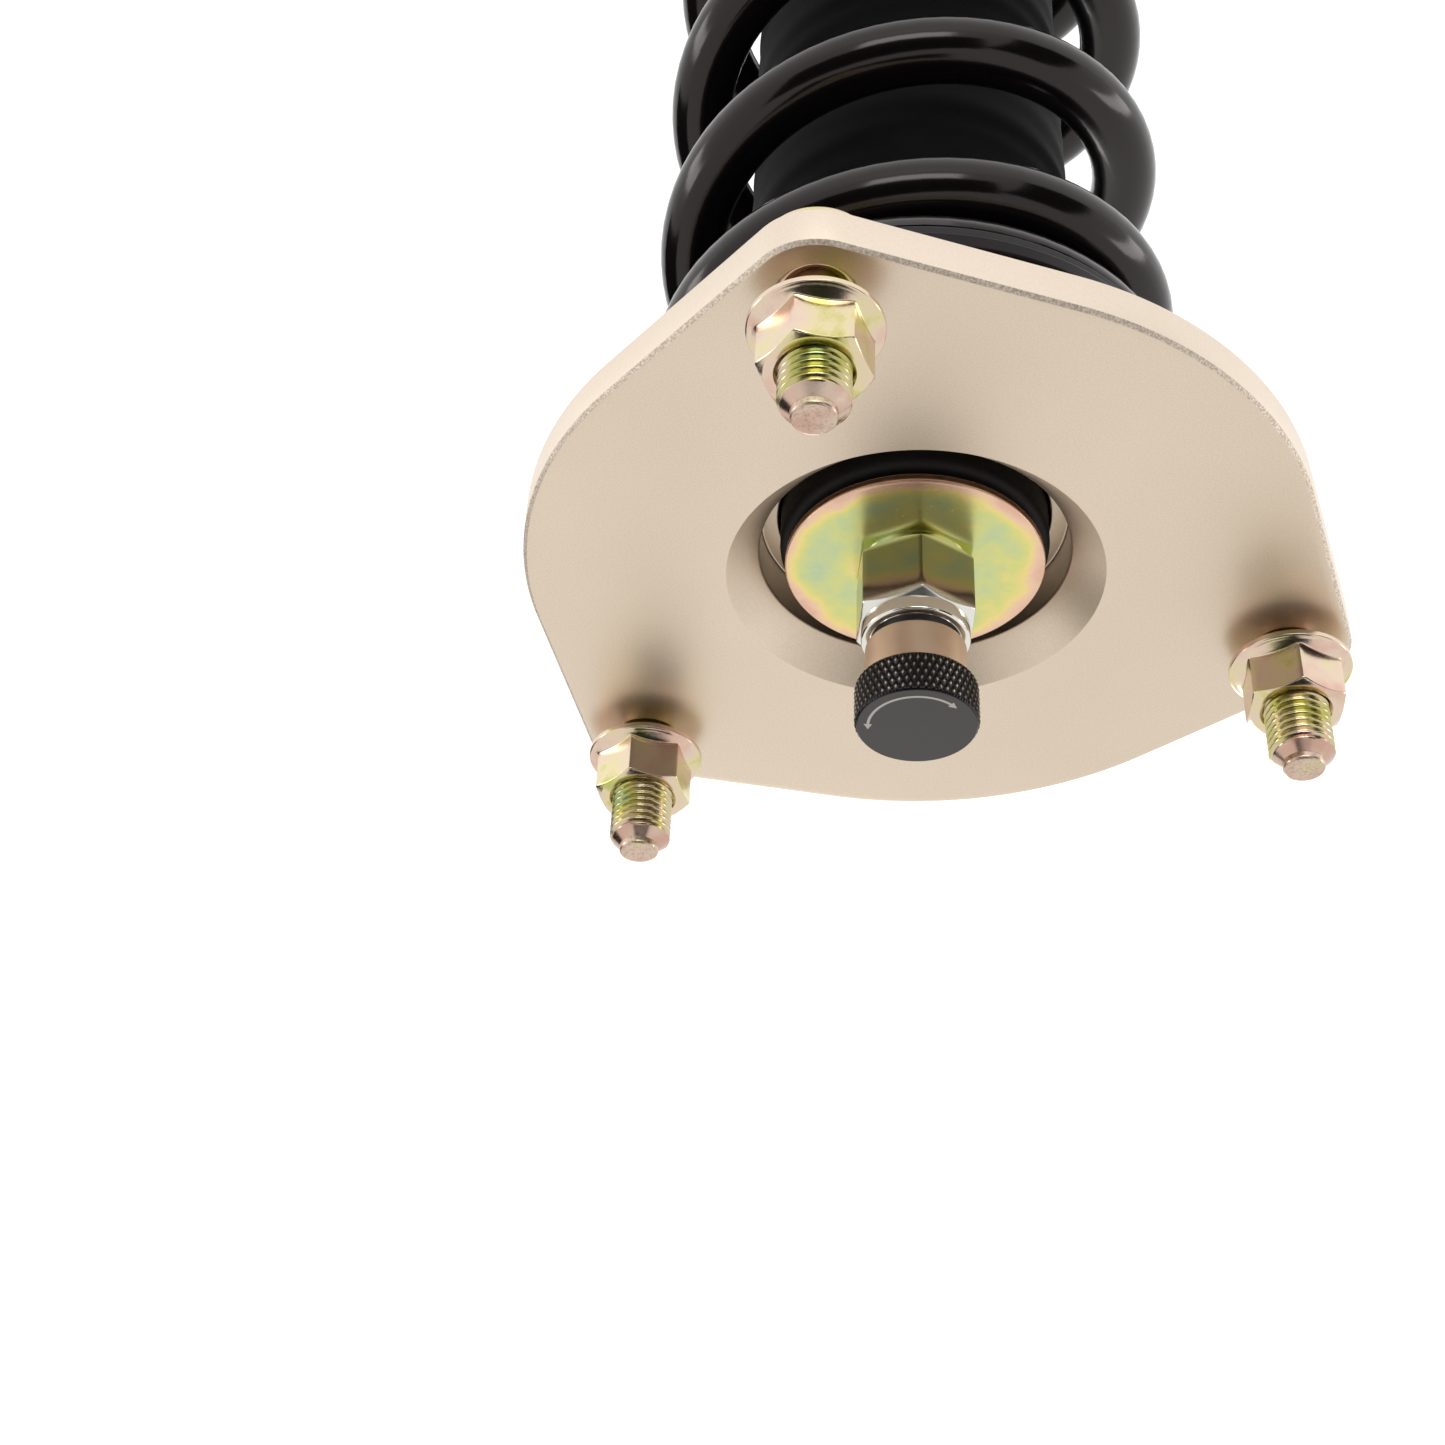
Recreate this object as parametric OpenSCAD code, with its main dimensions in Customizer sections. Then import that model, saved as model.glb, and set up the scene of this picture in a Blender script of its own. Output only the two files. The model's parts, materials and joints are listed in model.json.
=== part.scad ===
// Adjustable coil-over damper: a stud-mounted top plate over a rubber bush, a coil spring on a
// threaded monotube body, and a lower bracket that ends in a ball with a bushed eye.
// Origin: centre of the lower eye's bore. +Z runs up the damper to the mount plate, and the lower
// bolt lies along Y. The damper is drawn fully extended.
// Threads are plain cylinders, and one that is done up has its pitch diameter on both halves. Only
// the body's long thread is cut, as a ring for each turn. The rings that run on it clear its crests.

/* [Overall] */
// Lower eye centre to the top face of the mount plate, damper fully extended
eye_to_plate = 450; // [440:5:500]
// Damper travel, from full extension until the bump stop is met
stroke = 70; // [50:5:80]
// Running clearance between sliding or turning round surfaces, on the radius
running_gap = 0.05; // [0.02:0.01:0.1]

/* [Mount plate] */
// Radius of the plate's round body
plate_r = 60.4; // [58:0.2:64]
// Thickness of the plate
plate_t = 7; // [6:0.5:9]
// Chamfer along the plate's edges
plate_chamfer = 0.8; // [0.4:0.1:1.2]
// Radius of the round lobe about each stud
lobe_r = 9.8; // [9.4:0.2:12]
// Radius of the circle that the studs stand on
stud_circle_r = 61; // [58:0.5:66]
// Radius of the recess where it opens in the plate's top face
recess_mouth_r = 29; // [27:0.5:31]
// Depth of the 45 degree taper at the recess's mouth
recess_taper = 5; // [3:0.5:6]
// Depth of the recess, from the plate's top face to its ledge
recess_depth = 12; // [10:0.5:14]
// Thickness of the ledge that holds the rubber bush down
ledge_t = 3; // [2:0.5:4]
// Wall of the bush housing under the plate
housing_wall = 5; // [4:0.5:6]

/* [Studs and nuts] */
// Number of studs
stud_count = 3; // [3:1:4]
// Nominal diameter of the stud thread
stud_d = 10; // [8:1:12]
// Pitch of the stud thread
stud_pitch = 1.25; // [1:0.25:1.5]
// Height of the studs above the plate
stud_height = 23; // [21:1:26]
// Plain length of each stud above the plate, which fills the hole it is bolted through
stud_plain = 2.2; // [1:0.1:2.4]
// Thickness of the stud heads under the plate
stud_head_t = 2.5; // [2:0.5:4]
// Width across the flats of the flange nuts
flange_nut_af = 14; // [14:0.5:17]
// Diameter of the nuts' flanges
flange_nut_flange_d = 18.8; // [18:0.2:22]
// Height of the flange nuts
flange_nut_h = 9; // [8:0.5:10]

/* [Bush and rod end] */
// Radius of the rubber boss that stands in the recess
bush_boss_r = 20.8; // [19:0.2:21.5]
// Thickness of the rubber flange under the ledge
bush_flange_t = 6.5; // [5:0.5:8]
// Radius of the rubber flange
bush_flange_r = 27; // [26:0.5:29]
// Outer radius of the steel sleeve in the bush
bush_sleeve_r = 9; // [8.5:0.25:11]
// Radius of the washer under the rod nut
rod_washer_r = 20; // [18:0.5:21]
// Thickness of the washer under the rod nut
rod_washer_t = 1.7; // [1.2:0.1:2.5]
// Depth of the washer's top face below the plate's top face
rod_washer_sink = 2.2; // [1:0.1:3]
// Width across the flats of the rod nut
rod_nut_af = 17; // [17:0.5:19]
// Height of the rod nut's hexagon
rod_nut_h = 12.2; // [10:0.1:13]

/* [Knob] */
// Radius of the knurled rim
knob_r = 9.25; // [8.5:0.25:11]
// Height of the knurled rim
knob_h = 7; // [5:0.5:9]
// Radius of the smooth collar under the rim
knob_collar_r = 7.6; // [7:0.1:8]
// Height of the smooth collar
knob_collar_h = 7.1; // [6:0.1:9]

/* [Spring] */
// Free length of the spring
spring_len = 190; // [175:5:200]
// Outer diameter of the spring
spring_od = 86; // [84:1:90]
// Wire diameter
wire_d = 11; // [10:0.5:11.5]
// Rise of one active turn
spring_pitch = 38; // [36:1:42]
// Turns over which the pitch grows from closed to full, at each end
spring_ramp_turns = 1.6; // [1.4:0.05:1.65]
// Angle about Z of the wire's upper tip
spring_tip_angle = 100; // [0:1:360]

/* [Damper] */
// Outer diameter of the threaded body
body_d = 45; // [44:0.5:46]
// Pitch of the body's outer thread
body_pitch = 2; // [1.5:0.5:2]
// Bore of the body
body_bore_d = 38; // [36:0.5:39]
// Diameter of the piston rod
rod_d = 14; // [14:0.5:16]
// Diameter of the thread at the rod's upper end
rod_thread_d = 12; // [11:0.5:12]
// Diameter of the bore along the rod
rod_bore_d = 5; // [5:0.5:6]
// Length of the bump stop
bump_stop_len = 30; // [24:2:40]
// Thickness of the piston
piston_t = 12; // [10:1:16]

/* [Perch and boot] */
// Reach of the perch's flange and of the upper seat past the spring
seat_reach = 0.5; // [0:0.25:2.5]
// Thickness of the perch's flange
perch_flange_t = 7; // [5:0.5:9]
// Outer radius of the lock rings and of the perch's hub
lock_ring_r = 31; // [30:0.5:34]
// Height of a lock ring
lock_ring_h = 12; // [9:1:14]
// Outer radius of the dust boot
boot_r = 27.5; // [27:0.25:28]
// Wall of the dust boot
boot_wall = 1.5; // [1:0.25:2]

/* [Lower bracket] */
// Diameter of the ball about the eye
ball_d = 42; // [40:1:46]
// Distance of the ball's flat faces from its centre
ball_flat = 12.4; // [11:0.2:14]
// Diameter of the bore for the bush
eye_bore_d = 29; // [27:0.5:30]
// Bore of the sleeve, for the lower bolt
bolt_bore_d = 12.2; // [10.2:0.5:14.2]
// Outer diameter of the sleeve
sleeve_d = 17.3; // [17:0.1:19]
// Length of the sleeve
sleeve_len = 44; // [42:1:50]
// Diameter of the neck
neck_d = 26; // [24:0.5:28]
// Width across the neck's wrench flats
neck_flats = 22; // [20:0.5:23]
// Diameter of the barrel
barrel_d = 52; // [51:0.5:56]
// Height of the barrel's lower face above the eye's centre
barrel_bottom = 36.5; // [34:0.5:44]
// Length of the barrel
barrel_len = 100; // [85:5:110]

/* [Hidden] */
$fn = 96;
cut = 1; // how far a cutter runs past the face that it opens
fit_gap = 0.3; // between a moving piece and the stop or seat that it rests near

function pitch_r(d, pitch) = d / 2 - 0.3248 * pitch;
function hex_r(af) = af / 2 / cos(30);

// Levels of the top mount, downwards from the plate
plate_top = eye_to_plate;
plate_bottom = plate_top - plate_t;
recess_floor = plate_top - recess_depth;
chamber_top = recess_floor - ledge_t;
bush_bottom = chamber_top - bush_flange_t;
plate_washer_t = 2; // the retaining plate, and the washer level with it
retainer_bottom = bush_bottom - plate_washer_t;
clip_t = 1.2;
clip_bottom = retainer_bottom - clip_t;
housing_lip = 0.8;
housing_bottom = clip_bottom - housing_lip;
tilt_gap = 2.2; // lets the seat tilt under the housing
seat_top = housing_bottom - tilt_gap;
seat_t = 2.8;
seat_bottom = seat_top - seat_t;
isolator_t = 2;
spring_top = seat_bottom - isolator_t;
washer_top = plate_top - rod_washer_sink;
washer_bottom = washer_top - rod_washer_t;
boss_gap = 1; // from the rubber boss up to the washer
boss_top = washer_bottom - boss_gap;

// Radii of the top mount
recess_r = recess_mouth_r - recess_taper;
housing_r = bush_flange_r + housing_wall;
bush_bore_top_r = bush_sleeve_r + running_gap;
retainer_hole_r = 19;
lower_washer_r = retainer_hole_r - 2;
clip_depth = 1.2; // how far the clip reaches into its groove
rod_nose_r = rod_thread_d / 2;
rod_thread_pitch = 1.25;
rod_thread_r = pitch_r(rod_thread_d, rod_thread_pitch);
rod_r = rod_d / 2;
rod_bore_r = rod_bore_d / 2;

// Studs and nuts
stud_thread_r = pitch_r(stud_d, stud_pitch);
stud_shoulder_r = stud_d / 2 + 0.4;
stud_head_r = lobe_r - 2;
stud_mouth = 1.6; // countersink at each stud hole, on depth and on radius
stud_tip_r = stud_thread_r - 1.4;
stud_tip_h = 1.2;
stud_first_angle = 90;
nut_gaps = [5.8, 3.2, 3.1, 4]; // loosely fitted: height of each nut above the plate
nut_turns = [6, 59, 46, 15]; // where each nut happens to have stopped
rod_nut_turn = 11;

// Spring and its seats
coil_r = (spring_od - wire_d) / 2;
spring_bottom = spring_top - spring_len;
lip_r = coil_r - wire_d / 2 - 0.6; // the seats' lips, which centre the spring
lip_h = 6;
isolator_in_r = lip_r + 0.3;
isolator_r = spring_od / 2;
seat_r = isolator_r + seat_reach;
perch_top = spring_bottom - isolator_t;
perch_flange_bottom = perch_top - perch_flange_t;
perch_hub_bottom = perch_flange_bottom - lock_ring_h;
perch_ring_bottom = perch_hub_bottom - lock_ring_h;
boot_seat_r = boot_r; // the boot is pushed into the upper seat's skirt
skirt_h = 10;
boot_gap = 3; // from the perch's lip to the boot at full bump
boot_bottom = perch_top + lip_h + stroke + boot_gap;

// Damper, downwards from the bump stop
body_r = body_d / 2;
bore_r = body_bore_d / 2;
ring_bore_r = body_r + running_gap;
thread_depth = 0.6134 * body_pitch; // of the body's thread, and of the lead-ins cut for it
cup_t = 1.5;
cup_h = 8;
bump_top = seat_bottom - boot_wall - cup_t;
bump_bottom = bump_top - bump_stop_len;
bump_clear = 0.5;
gland_top = bump_bottom - bump_clear - stroke;
gland_flange_t = 4;
body_top = gland_top - gland_flange_t;
gland_thread_h = 7;
guide_top = body_top - gland_thread_h;
guide_h = 19;
guide_bottom = guide_top - guide_h;
seal_h = 6;
bush_wall = 2;
topout_h = 6;
rod_stop_top = guide_bottom - fit_gap - topout_h;
rod_stop_t = 2;
port_zone = 6; // length of rod that carries the bleed ports
shim_seat = rod_stop_top - rod_stop_t - port_zone;
backing_t = 1.4;
backing_r = 14;
shim_t = 0.8;
shim_radii = [10, 12.5, 15];
piston_top = shim_seat - backing_t - shim_t * len(shim_radii);
piston_bottom = piston_top - piston_t;
piston_nut_top = piston_bottom - shim_t * len(shim_radii);
piston_nut_h = 7;
post_bottom = piston_nut_top - piston_nut_h - 1.5;
post_r = rod_r - 2;
body_lift = 23.5; // room under the body for the barrel's floor, the bracket's rise and the valve
body_bottom = barrel_bottom + body_lift;
cap_t = 12;
gas_len = 38; // gas chamber under the floating piston
float_h = 14;
float_bottom = body_bottom + cap_t + gas_len;
band_h = 7;
band_t = 1.4;
o_ring_d = 2.4;
o_ring_groove = 2.6;

// Adjuster inside the rod
rod_reach = 13.7; // of the rod's end above the plate
rod_top = plate_top + rod_reach;
collar_bottom = rod_top + fit_gap;
knob_bottom = collar_bottom + knob_collar_h;
knob_top = knob_bottom + knob_h;
pin_r = rod_bore_r - 0.5;
pin_tip_r = 1.2;
jet_r = rod_bore_r - 0.9;
jet_h = 5;
needle_r = rod_bore_r - 0.08;
needle_stem_r = rod_bore_r - 0.6;
needle_tip_r = jet_r - 0.7;
needle_bottom = post_bottom + jet_h - 1;
needle_cone_h = 3;
needle_guide_bottom = shim_seat + port_zone + 2;
needle_guide_len = 21;
needle_top = needle_guide_bottom + needle_guide_len;
needle_travel = 1.5;
socket_depth = 10;

// Lock rings
slot_count = 6;
slot_w = 7;
slot_depth = 3;
collar_h = lock_ring_h - 1.5; // the bracket's collar is a little thinner than the perch's ring

// Lower bracket
ball_r = ball_d / 2;
barrel_top = barrel_bottom + barrel_len;
barrel_floor_t = 10;
barrel_floor = barrel_bottom + barrel_floor_t;
eye_bore_r = eye_bore_d / 2;
bush_shell_t = 1.2;
sleeve_r = sleeve_d / 2;
bush_bore_r = sleeve_r + running_gap;
bush_cone_y = ball_flat + 4.6; // where the rubber's cone has narrowed to its collar
bush_collar_y = sleeve_len / 2 - 0.2;
bush_collar_r = bush_bore_r + 0.65;
turned_chamfer = 0.8;

// A turned ring between two radii and two levels, with its outer edges chamfered, and its bore's
// edges opened by a lead-in for a thread
module turned_ring(r_in, r_out, z_low, z_high, chamfer = 0, lead_in = 0) {
  rotate_extrude()
    polygon([
      [r_in, z_low + lead_in], [r_in + lead_in, z_low], [r_out - chamfer, z_low],
      [r_out, z_low + chamfer], [r_out, z_high - chamfer], [r_out - chamfer, z_high],
      [r_in + lead_in, z_high], [r_in, z_high - lead_in]
    ]);
}

// A straight hole or rod about Z between two levels
module bar(r, z_low, z_high) {
  translate([0, 0, z_low]) cylinder(h = z_high - z_low, r = r);
}

// A hexagon with its corners turned off at 30 degrees at each end that is asked for
module turned_hex(af, z_low, z_high, turn_low, turn_high) {
  corner = hex_r(af);
  drop = (corner - af / 2) * tan(30) + 0.15;
  intersection() {
    translate([0, 0, z_low]) cylinder(h = z_high - z_low, r = corner, $fn = 6);
    rotate_extrude()
      polygon([
        [0, z_low], [turn_low ? af / 2 - 0.26 : corner + cut, z_low],
        [corner + cut, z_low + (turn_low ? drop + cut * tan(30) : 0)],
        [corner + cut, z_high - (turn_high ? drop + cut * tan(30) : 0)],
        [turn_high ? af / 2 - 0.26 : corner + cut, z_high], [0, z_high]
      ]);
  }
}

// Spanner slots round a ring's edge, open at both ends
module spanner_slots(r, z_low, z_high, count, width, depth) {
  for (i = [0 : count - 1])
    rotate([0, 0, i * 360 / count])
      translate([r - depth, -width / 2, z_low - cut])
        cube([depth + cut, width, z_high - z_low + 2 * cut]);
}

// Places its children at each stud
module at_studs() {
  for (i = [0 : stud_count - 1])
    rotate([0, 0, stud_first_angle + i * 360 / stud_count])
      translate([stud_circle_r, 0, 0])
        children();
}

// The plate's outline: round, with straight runs out to a round lobe about each stud
module plate_blank() {
  hull() {
    turned_ring(0, plate_r, plate_bottom, plate_top, plate_chamfer);
    at_studs() turned_ring(0, lobe_r, plate_bottom, plate_top, plate_chamfer);
  }
}

module mount_plate() {
  color("wheat")
    difference() {
      union() {
        plate_blank();
        turned_ring(0, housing_r, housing_bottom, plate_bottom + cut, turned_chamfer);
      }
      rotate_extrude()
        polygon([
          [0, housing_bottom - cut], [bush_flange_r, housing_bottom - cut],
          [bush_flange_r, clip_bottom], [bush_flange_r + clip_depth, clip_bottom],
          [bush_flange_r + clip_depth, retainer_bottom], [bush_flange_r, retainer_bottom],
          [bush_flange_r, chamber_top], [bush_boss_r, chamber_top],
          [bush_boss_r, recess_floor], [recess_r, recess_floor],
          [recess_r, plate_top - recess_taper], [recess_mouth_r + cut, plate_top + cut],
          [0, plate_top + cut]
        ]);
      at_studs() {
        bar(stud_shoulder_r, plate_bottom - cut, plate_top + cut);
        translate([0, 0, plate_top - stud_mouth])
          cylinder(h = stud_mouth + cut, r1 = stud_shoulder_r, r2 = stud_shoulder_r + stud_mouth + cut);
      }
    }
}

module top_bush_rubber() {
  edge = 1.5;
  color("dimgray")
    rotate_extrude()
      polygon([
        [bush_bore_top_r, bush_bottom], [bush_flange_r, bush_bottom], [bush_flange_r, chamber_top],
        [bush_boss_r, chamber_top], [bush_boss_r, boss_top - edge], [bush_boss_r - edge, boss_top],
        [bush_bore_top_r, boss_top]
      ]);
}

module bush_retainer() {
  color("silver") turned_ring(retainer_hole_r, bush_flange_r, retainer_bottom, bush_bottom);
}

// An internal spring clip with its gap and two eyes
module retainer_clip() {
  clip_in_r = bush_flange_r - 2.5;
  clip_gap = 8;
  color("gray")
    difference() {
      turned_ring(clip_in_r, bush_flange_r + clip_depth, clip_bottom, retainer_bottom);
      translate([0, -clip_gap / 2, clip_bottom - cut])
        cube([housing_r, clip_gap, clip_t + 2 * cut]);
    }
}

module mount_studs() {
  cone_h = 1.6;
  color("goldenrod")
    at_studs()
      union() {
        turned_ring(0, stud_head_r, plate_bottom - stud_head_t, plate_bottom, 0.6);
        bar(stud_shoulder_r, plate_bottom, plate_top - stud_mouth);
        translate([0, 0, plate_top - stud_mouth])
          cylinder(h = stud_mouth, r1 = stud_shoulder_r, r2 = stud_d / 2);
        bar(stud_d / 2, plate_top, plate_top + stud_plain);
        bar(stud_thread_r, plate_top + stud_plain, plate_top + stud_height - stud_tip_h - cone_h);
        translate([0, 0, plate_top + stud_height - stud_tip_h - cone_h])
          cylinder(h = cone_h, r1 = stud_thread_r, r2 = stud_tip_r);
        turned_ring(0, stud_tip_r, plate_top + stud_height - stud_tip_h, plate_top + stud_height, 0.4);
      }
}

module flange_nut() {
  rim_t = 1.1;
  cone_h = 1.2;
  flange_r = flange_nut_flange_d / 2;
  difference() {
    union() {
      turned_hex(flange_nut_af, rim_t / 2, flange_nut_h, false, true);
      turned_ring(0, flange_r, 0, rim_t, 0.25);
      translate([0, 0, rim_t])
        cylinder(h = cone_h, r1 = flange_r - 0.25, r2 = flange_nut_af / 2 - 0.2);
    }
    bar(stud_thread_r, -cut, flange_nut_h + cut);
  }
}

module stud_nuts() {
  color("gold")
    for (i = [0 : stud_count - 1])
      rotate([0, 0, stud_first_angle + i * 360 / stud_count])
        translate([stud_circle_r, 0, plate_top + nut_gaps[i]])
          rotate([0, 0, nut_turns[i]])
            flange_nut();
}

module bush_sleeve() {
  color("silver") turned_ring(rod_nose_r, bush_sleeve_r, bush_bottom, washer_bottom);
}

module lower_washer() {
  color("silver") turned_ring(rod_nose_r, lower_washer_r, retainer_bottom, bush_bottom);
}

module rod_washer() {
  color("gold") turned_ring(rod_nose_r, rod_washer_r, washer_bottom, washer_top, 0.3);
}

nut_collar_r = rod_nut_af / 2 - 0.2;
nut_collar_h = 2.5;
nut_insert_h = 2;
nut_insert_r = rod_thread_r + 1.6;

module rod_nut() {
  face_t = 0.5;
  hex_top = washer_top + rod_nut_h;
  color("whitesmoke")
    difference() {
      union() {
        turned_ring(0, nut_collar_r, washer_top, washer_top + face_t + cut);
        rotate([0, 0, rod_nut_turn]) turned_hex(rod_nut_af, washer_top + face_t, hex_top, true, true);
        turned_ring(0, nut_collar_r, hex_top - cut, hex_top + nut_collar_h, 0.9);
      }
      bar(rod_thread_r, washer_top - cut, hex_top + nut_collar_h + cut);
      bar(nut_insert_r, hex_top, hex_top + nut_insert_h);
    }
}

module nut_insert() {
  hex_top = washer_top + rod_nut_h;
  color("steelblue") turned_ring(rod_thread_r, nut_insert_r, hex_top, hex_top + nut_insert_h);
}

knob_socket = 3;

module knob() {
  color("black")
    difference() {
      turned_ring(0, knob_r, knob_bottom, knob_top, 0.5);
      bar(pin_r, knob_bottom - cut, knob_bottom + knob_socket);
    }
}

knob_screw_r = 1.5;
knob_screw_z = (collar_bottom + knob_bottom) / 2;

module knob_collar() {
  color("rosybrown")
    difference() {
      turned_ring(pin_r, knob_collar_r, collar_bottom, knob_bottom, 0.4);
      translate([0, 0, knob_screw_z])
        rotate([0, 90, 0])
          cylinder(h = knob_collar_r + cut, r = knob_screw_r);
    }
}

pin_flat = pin_r - 0.4; // distance of the pin's flat from its axis

// The screw bears on the pin's flat and stops just below the collar's surface
module knob_screw() {
  screw_len = knob_collar_r - pin_flat - 0.5;
  color("black")
    translate([pin_flat, 0, knob_screw_z])
      rotate([0, 90, 0])
        difference() {
          cylinder(h = screw_len, r = knob_screw_r);
          translate([0, 0, screw_len - 1.6])
            cylinder(h = 1.6 + cut, r = 0.85, $fn = 6);
        }
}

module adjuster_pin() {
  shoulder = needle_top + needle_travel;
  color("silver")
    difference() {
      union() {
        bar(pin_tip_r, needle_top - socket_depth + 2, shoulder);
        bar(pin_r, shoulder, knob_bottom + knob_socket);
      }
      translate([pin_flat, -pin_r, knob_screw_z - knob_screw_r - 0.5])
        cube([pin_r, 2 * pin_r, 2 * knob_screw_r + 1]);
    }
}

module metering_needle() {
  color("goldenrod")
    difference() {
      union() {
        translate([0, 0, needle_bottom])
          cylinder(h = needle_cone_h, r1 = needle_tip_r, r2 = needle_stem_r);
        bar(needle_stem_r, needle_bottom + needle_cone_h, needle_guide_bottom);
        bar(needle_r, needle_guide_bottom, needle_top);
      }
      bar(pin_tip_r + 0.2, needle_top - socket_depth, needle_top + cut);
    }
}

module piston_rod() {
  port_z = shim_seat + port_zone / 2;
  color("lightgray")
    difference() {
      union() {
        bar(post_r, post_bottom, shim_seat);
        bar(rod_r, shim_seat, seat_bottom);
        bar(rod_r + 3, rod_stop_top - rod_stop_t, rod_stop_top);
        bar(rod_nose_r, seat_bottom, washer_top);
        bar(rod_thread_r, washer_top, rod_top);
      }
      bar(jet_r, post_bottom - cut, rod_top + cut);
      bar(rod_bore_r, post_bottom + jet_h, rod_top + cut);
      for (turn = [0, 90])
        translate([0, 0, port_z])
          rotate([90, 0, turn])
            cylinder(h = 2 * rod_d, r = 1.2, center = true);
    }
}

module upper_spring_seat() {
  boss_r = 14;
  chamfer = 0.6;
  color("black")
    rotate_extrude()
      polygon([
        [rod_nose_r, seat_bottom], [boot_seat_r, seat_bottom], [boot_seat_r, seat_bottom - skirt_h],
        [lip_r - chamfer, seat_bottom - skirt_h], [lip_r, seat_bottom - skirt_h + chamfer],
        [lip_r, seat_bottom], [seat_r - chamfer, seat_bottom], [seat_r, seat_bottom + chamfer],
        [seat_r, seat_top - chamfer], [seat_r - chamfer, seat_top], [boss_r, seat_top],
        [boss_r, retainer_bottom], [rod_nose_r, retainer_bottom]
      ]);
}

module spring_top_isolator() {
  color("dimgray") turned_ring(isolator_in_r, isolator_r, spring_top, seat_bottom, 0.4);
}

module bump_stop() {
  r_in = rod_r + fit_gap;
  r_out = 16.5;
  waist = 12.5;
  bulges = 3;
  step = bump_stop_len / bulges / 4;
  color("khaki")
    rotate_extrude()
      polygon(concat(
        [[r_in, bump_top]],
        [for (i = [0 : bulges * 4]) [i % 4 == 1 || i % 4 == 2 ? r_out : waist, bump_top - i * step]],
        [[r_in, bump_bottom]]
      ));
}

module bump_stop_cup() {
  cup_r = 18.5;
  cup_wall = 1.5;
  color("black")
    rotate_extrude()
      polygon([
        [rod_r + fit_gap, bump_top], [cup_r - cup_wall, bump_top], [cup_r - cup_wall, bump_top - cup_h],
        [cup_r, bump_top - cup_h], [cup_r, bump_top + cup_t], [rod_r + fit_gap, bump_top + cup_t]
      ]);
}

module dust_boot() {
  color("black")
    rotate_extrude()
      polygon([
        [rod_r + fit_gap, seat_bottom - boot_wall], [boot_r - boot_wall, seat_bottom - boot_wall],
        [boot_r - boot_wall, boot_bottom], [boot_r, boot_bottom], [boot_r, seat_bottom],
        [rod_r + fit_gap, seat_bottom]
      ]);
}

module topout_bumper() {
  color("black") turned_ring(rod_r, rod_r + 6, rod_stop_top, rod_stop_top + topout_h, 1);
}

// A stack of thin discs, each its own radius, from a level downwards
module shim_stack(radii, level) {
  for (i = [0 : len(radii) - 1])
    turned_ring(post_r, radii[i], level - (i + 1) * shim_t, level - i * shim_t);
}

module compression_shims() {
  color("silver")
    union() {
      turned_ring(post_r, backing_r, shim_seat - backing_t, shim_seat);
      shim_stack(shim_radii, shim_seat - backing_t);
    }
}

module piston() {
  port_r = 1.9;
  port_circle_r = 10.5;
  ports = 6;
  band_low = (piston_top + piston_bottom - band_h) / 2;
  color("darkgray")
    difference() {
      turned_ring(post_r, bore_r - 0.35, piston_bottom, piston_top, 0.5);
      turned_ring(bore_r - band_t, bore_r + cut, band_low, band_low + band_h);
      for (i = [0 : ports - 1])
        rotate([0, 0, i * 360 / ports])
          translate([port_circle_r, 0, 0])
            bar(port_r, piston_bottom - cut, piston_top + cut);
    }
}

module piston_band() {
  band_low = (piston_top + piston_bottom - band_h) / 2;
  color("saddlebrown")
    turned_ring(bore_r - band_t, bore_r - running_gap, band_low, band_low + band_h);
}

module rebound_shims() {
  color("silver")
    shim_stack([for (i = [len(shim_radii) - 1 : -1 : 0]) shim_radii[i]], piston_bottom);
}

module piston_nut() {
  color("silver")
    difference() {
      turned_hex(3 * post_r, piston_nut_top - piston_nut_h, piston_nut_top, true, false);
      bar(post_r, piston_nut_top - piston_nut_h - cut, piston_nut_top + cut);
    }
}

// The thread runs down from the tube's top and ends in a plain relief
module damper_tube() {
  root_r = body_r - thread_depth;
  relief = 3;
  thread_turns = floor((body_top - body_bottom - relief) / body_pitch);
  thread = [
    for (i = [0 : thread_turns - 1])
      each [[root_r, body_top - i * body_pitch], [body_r, body_top - (i + 0.5) * body_pitch]]
  ];
  color("dimgray")
    rotate_extrude()
      polygon(concat(
        [[bore_r, body_bottom], [bore_r, body_top]], thread,
        [[root_r, body_top - thread_turns * body_pitch], [root_r, body_bottom]]
      ));
}

module gland_nut() {
  hole_r = rod_r + 2.5;
  color("black")
    difference() {
      union() {
        turned_ring(hole_r, body_r, body_top, gland_top, 0.6);
        turned_ring(hole_r, bore_r, guide_top, body_top + cut);
      }
      for (i = [0 : 3])
        rotate([0, 0, 45 + i * 90])
          translate([(hole_r + body_r) / 2, 0, 0])
            bar(2, gland_top - 3, gland_top + cut);
    }
}

module rod_wiper() {
  color("black")
    turned_ring(rod_r + running_gap, rod_r + 2.5, gland_top - 5, gland_top);
}

guide_ring_z = guide_bottom + 5;

module rod_guide() {
  seal_r = rod_r + 6;
  color("silver")
    difference() {
      turned_ring(rod_r + bush_wall, bore_r, guide_bottom, guide_top, 0.5);
      turned_ring(0, seal_r, guide_top - seal_h, guide_top + cut);
      turned_ring(
        bore_r - o_ring_d, bore_r + cut, guide_ring_z - o_ring_groove / 2, guide_ring_z + o_ring_groove / 2
      );
    }
}

module rod_seal() {
  color("black")
    turned_ring(rod_r + running_gap, rod_r + 6, guide_top - seal_h, guide_top);
}

module rod_bush() {
  color("goldenrod")
    turned_ring(rod_r + running_gap, rod_r + bush_wall, guide_bottom + 1, guide_top - seal_h);
}

// An O-ring whose outside meets a wall of the given radius
module o_ring(wall_r, z) {
  rotate_extrude()
    translate([wall_r - o_ring_d / 2, z])
      circle(d = o_ring_d, $fn = 32);
}

module guide_o_ring() {
  color("black") o_ring(bore_r, guide_ring_z);
}

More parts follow.
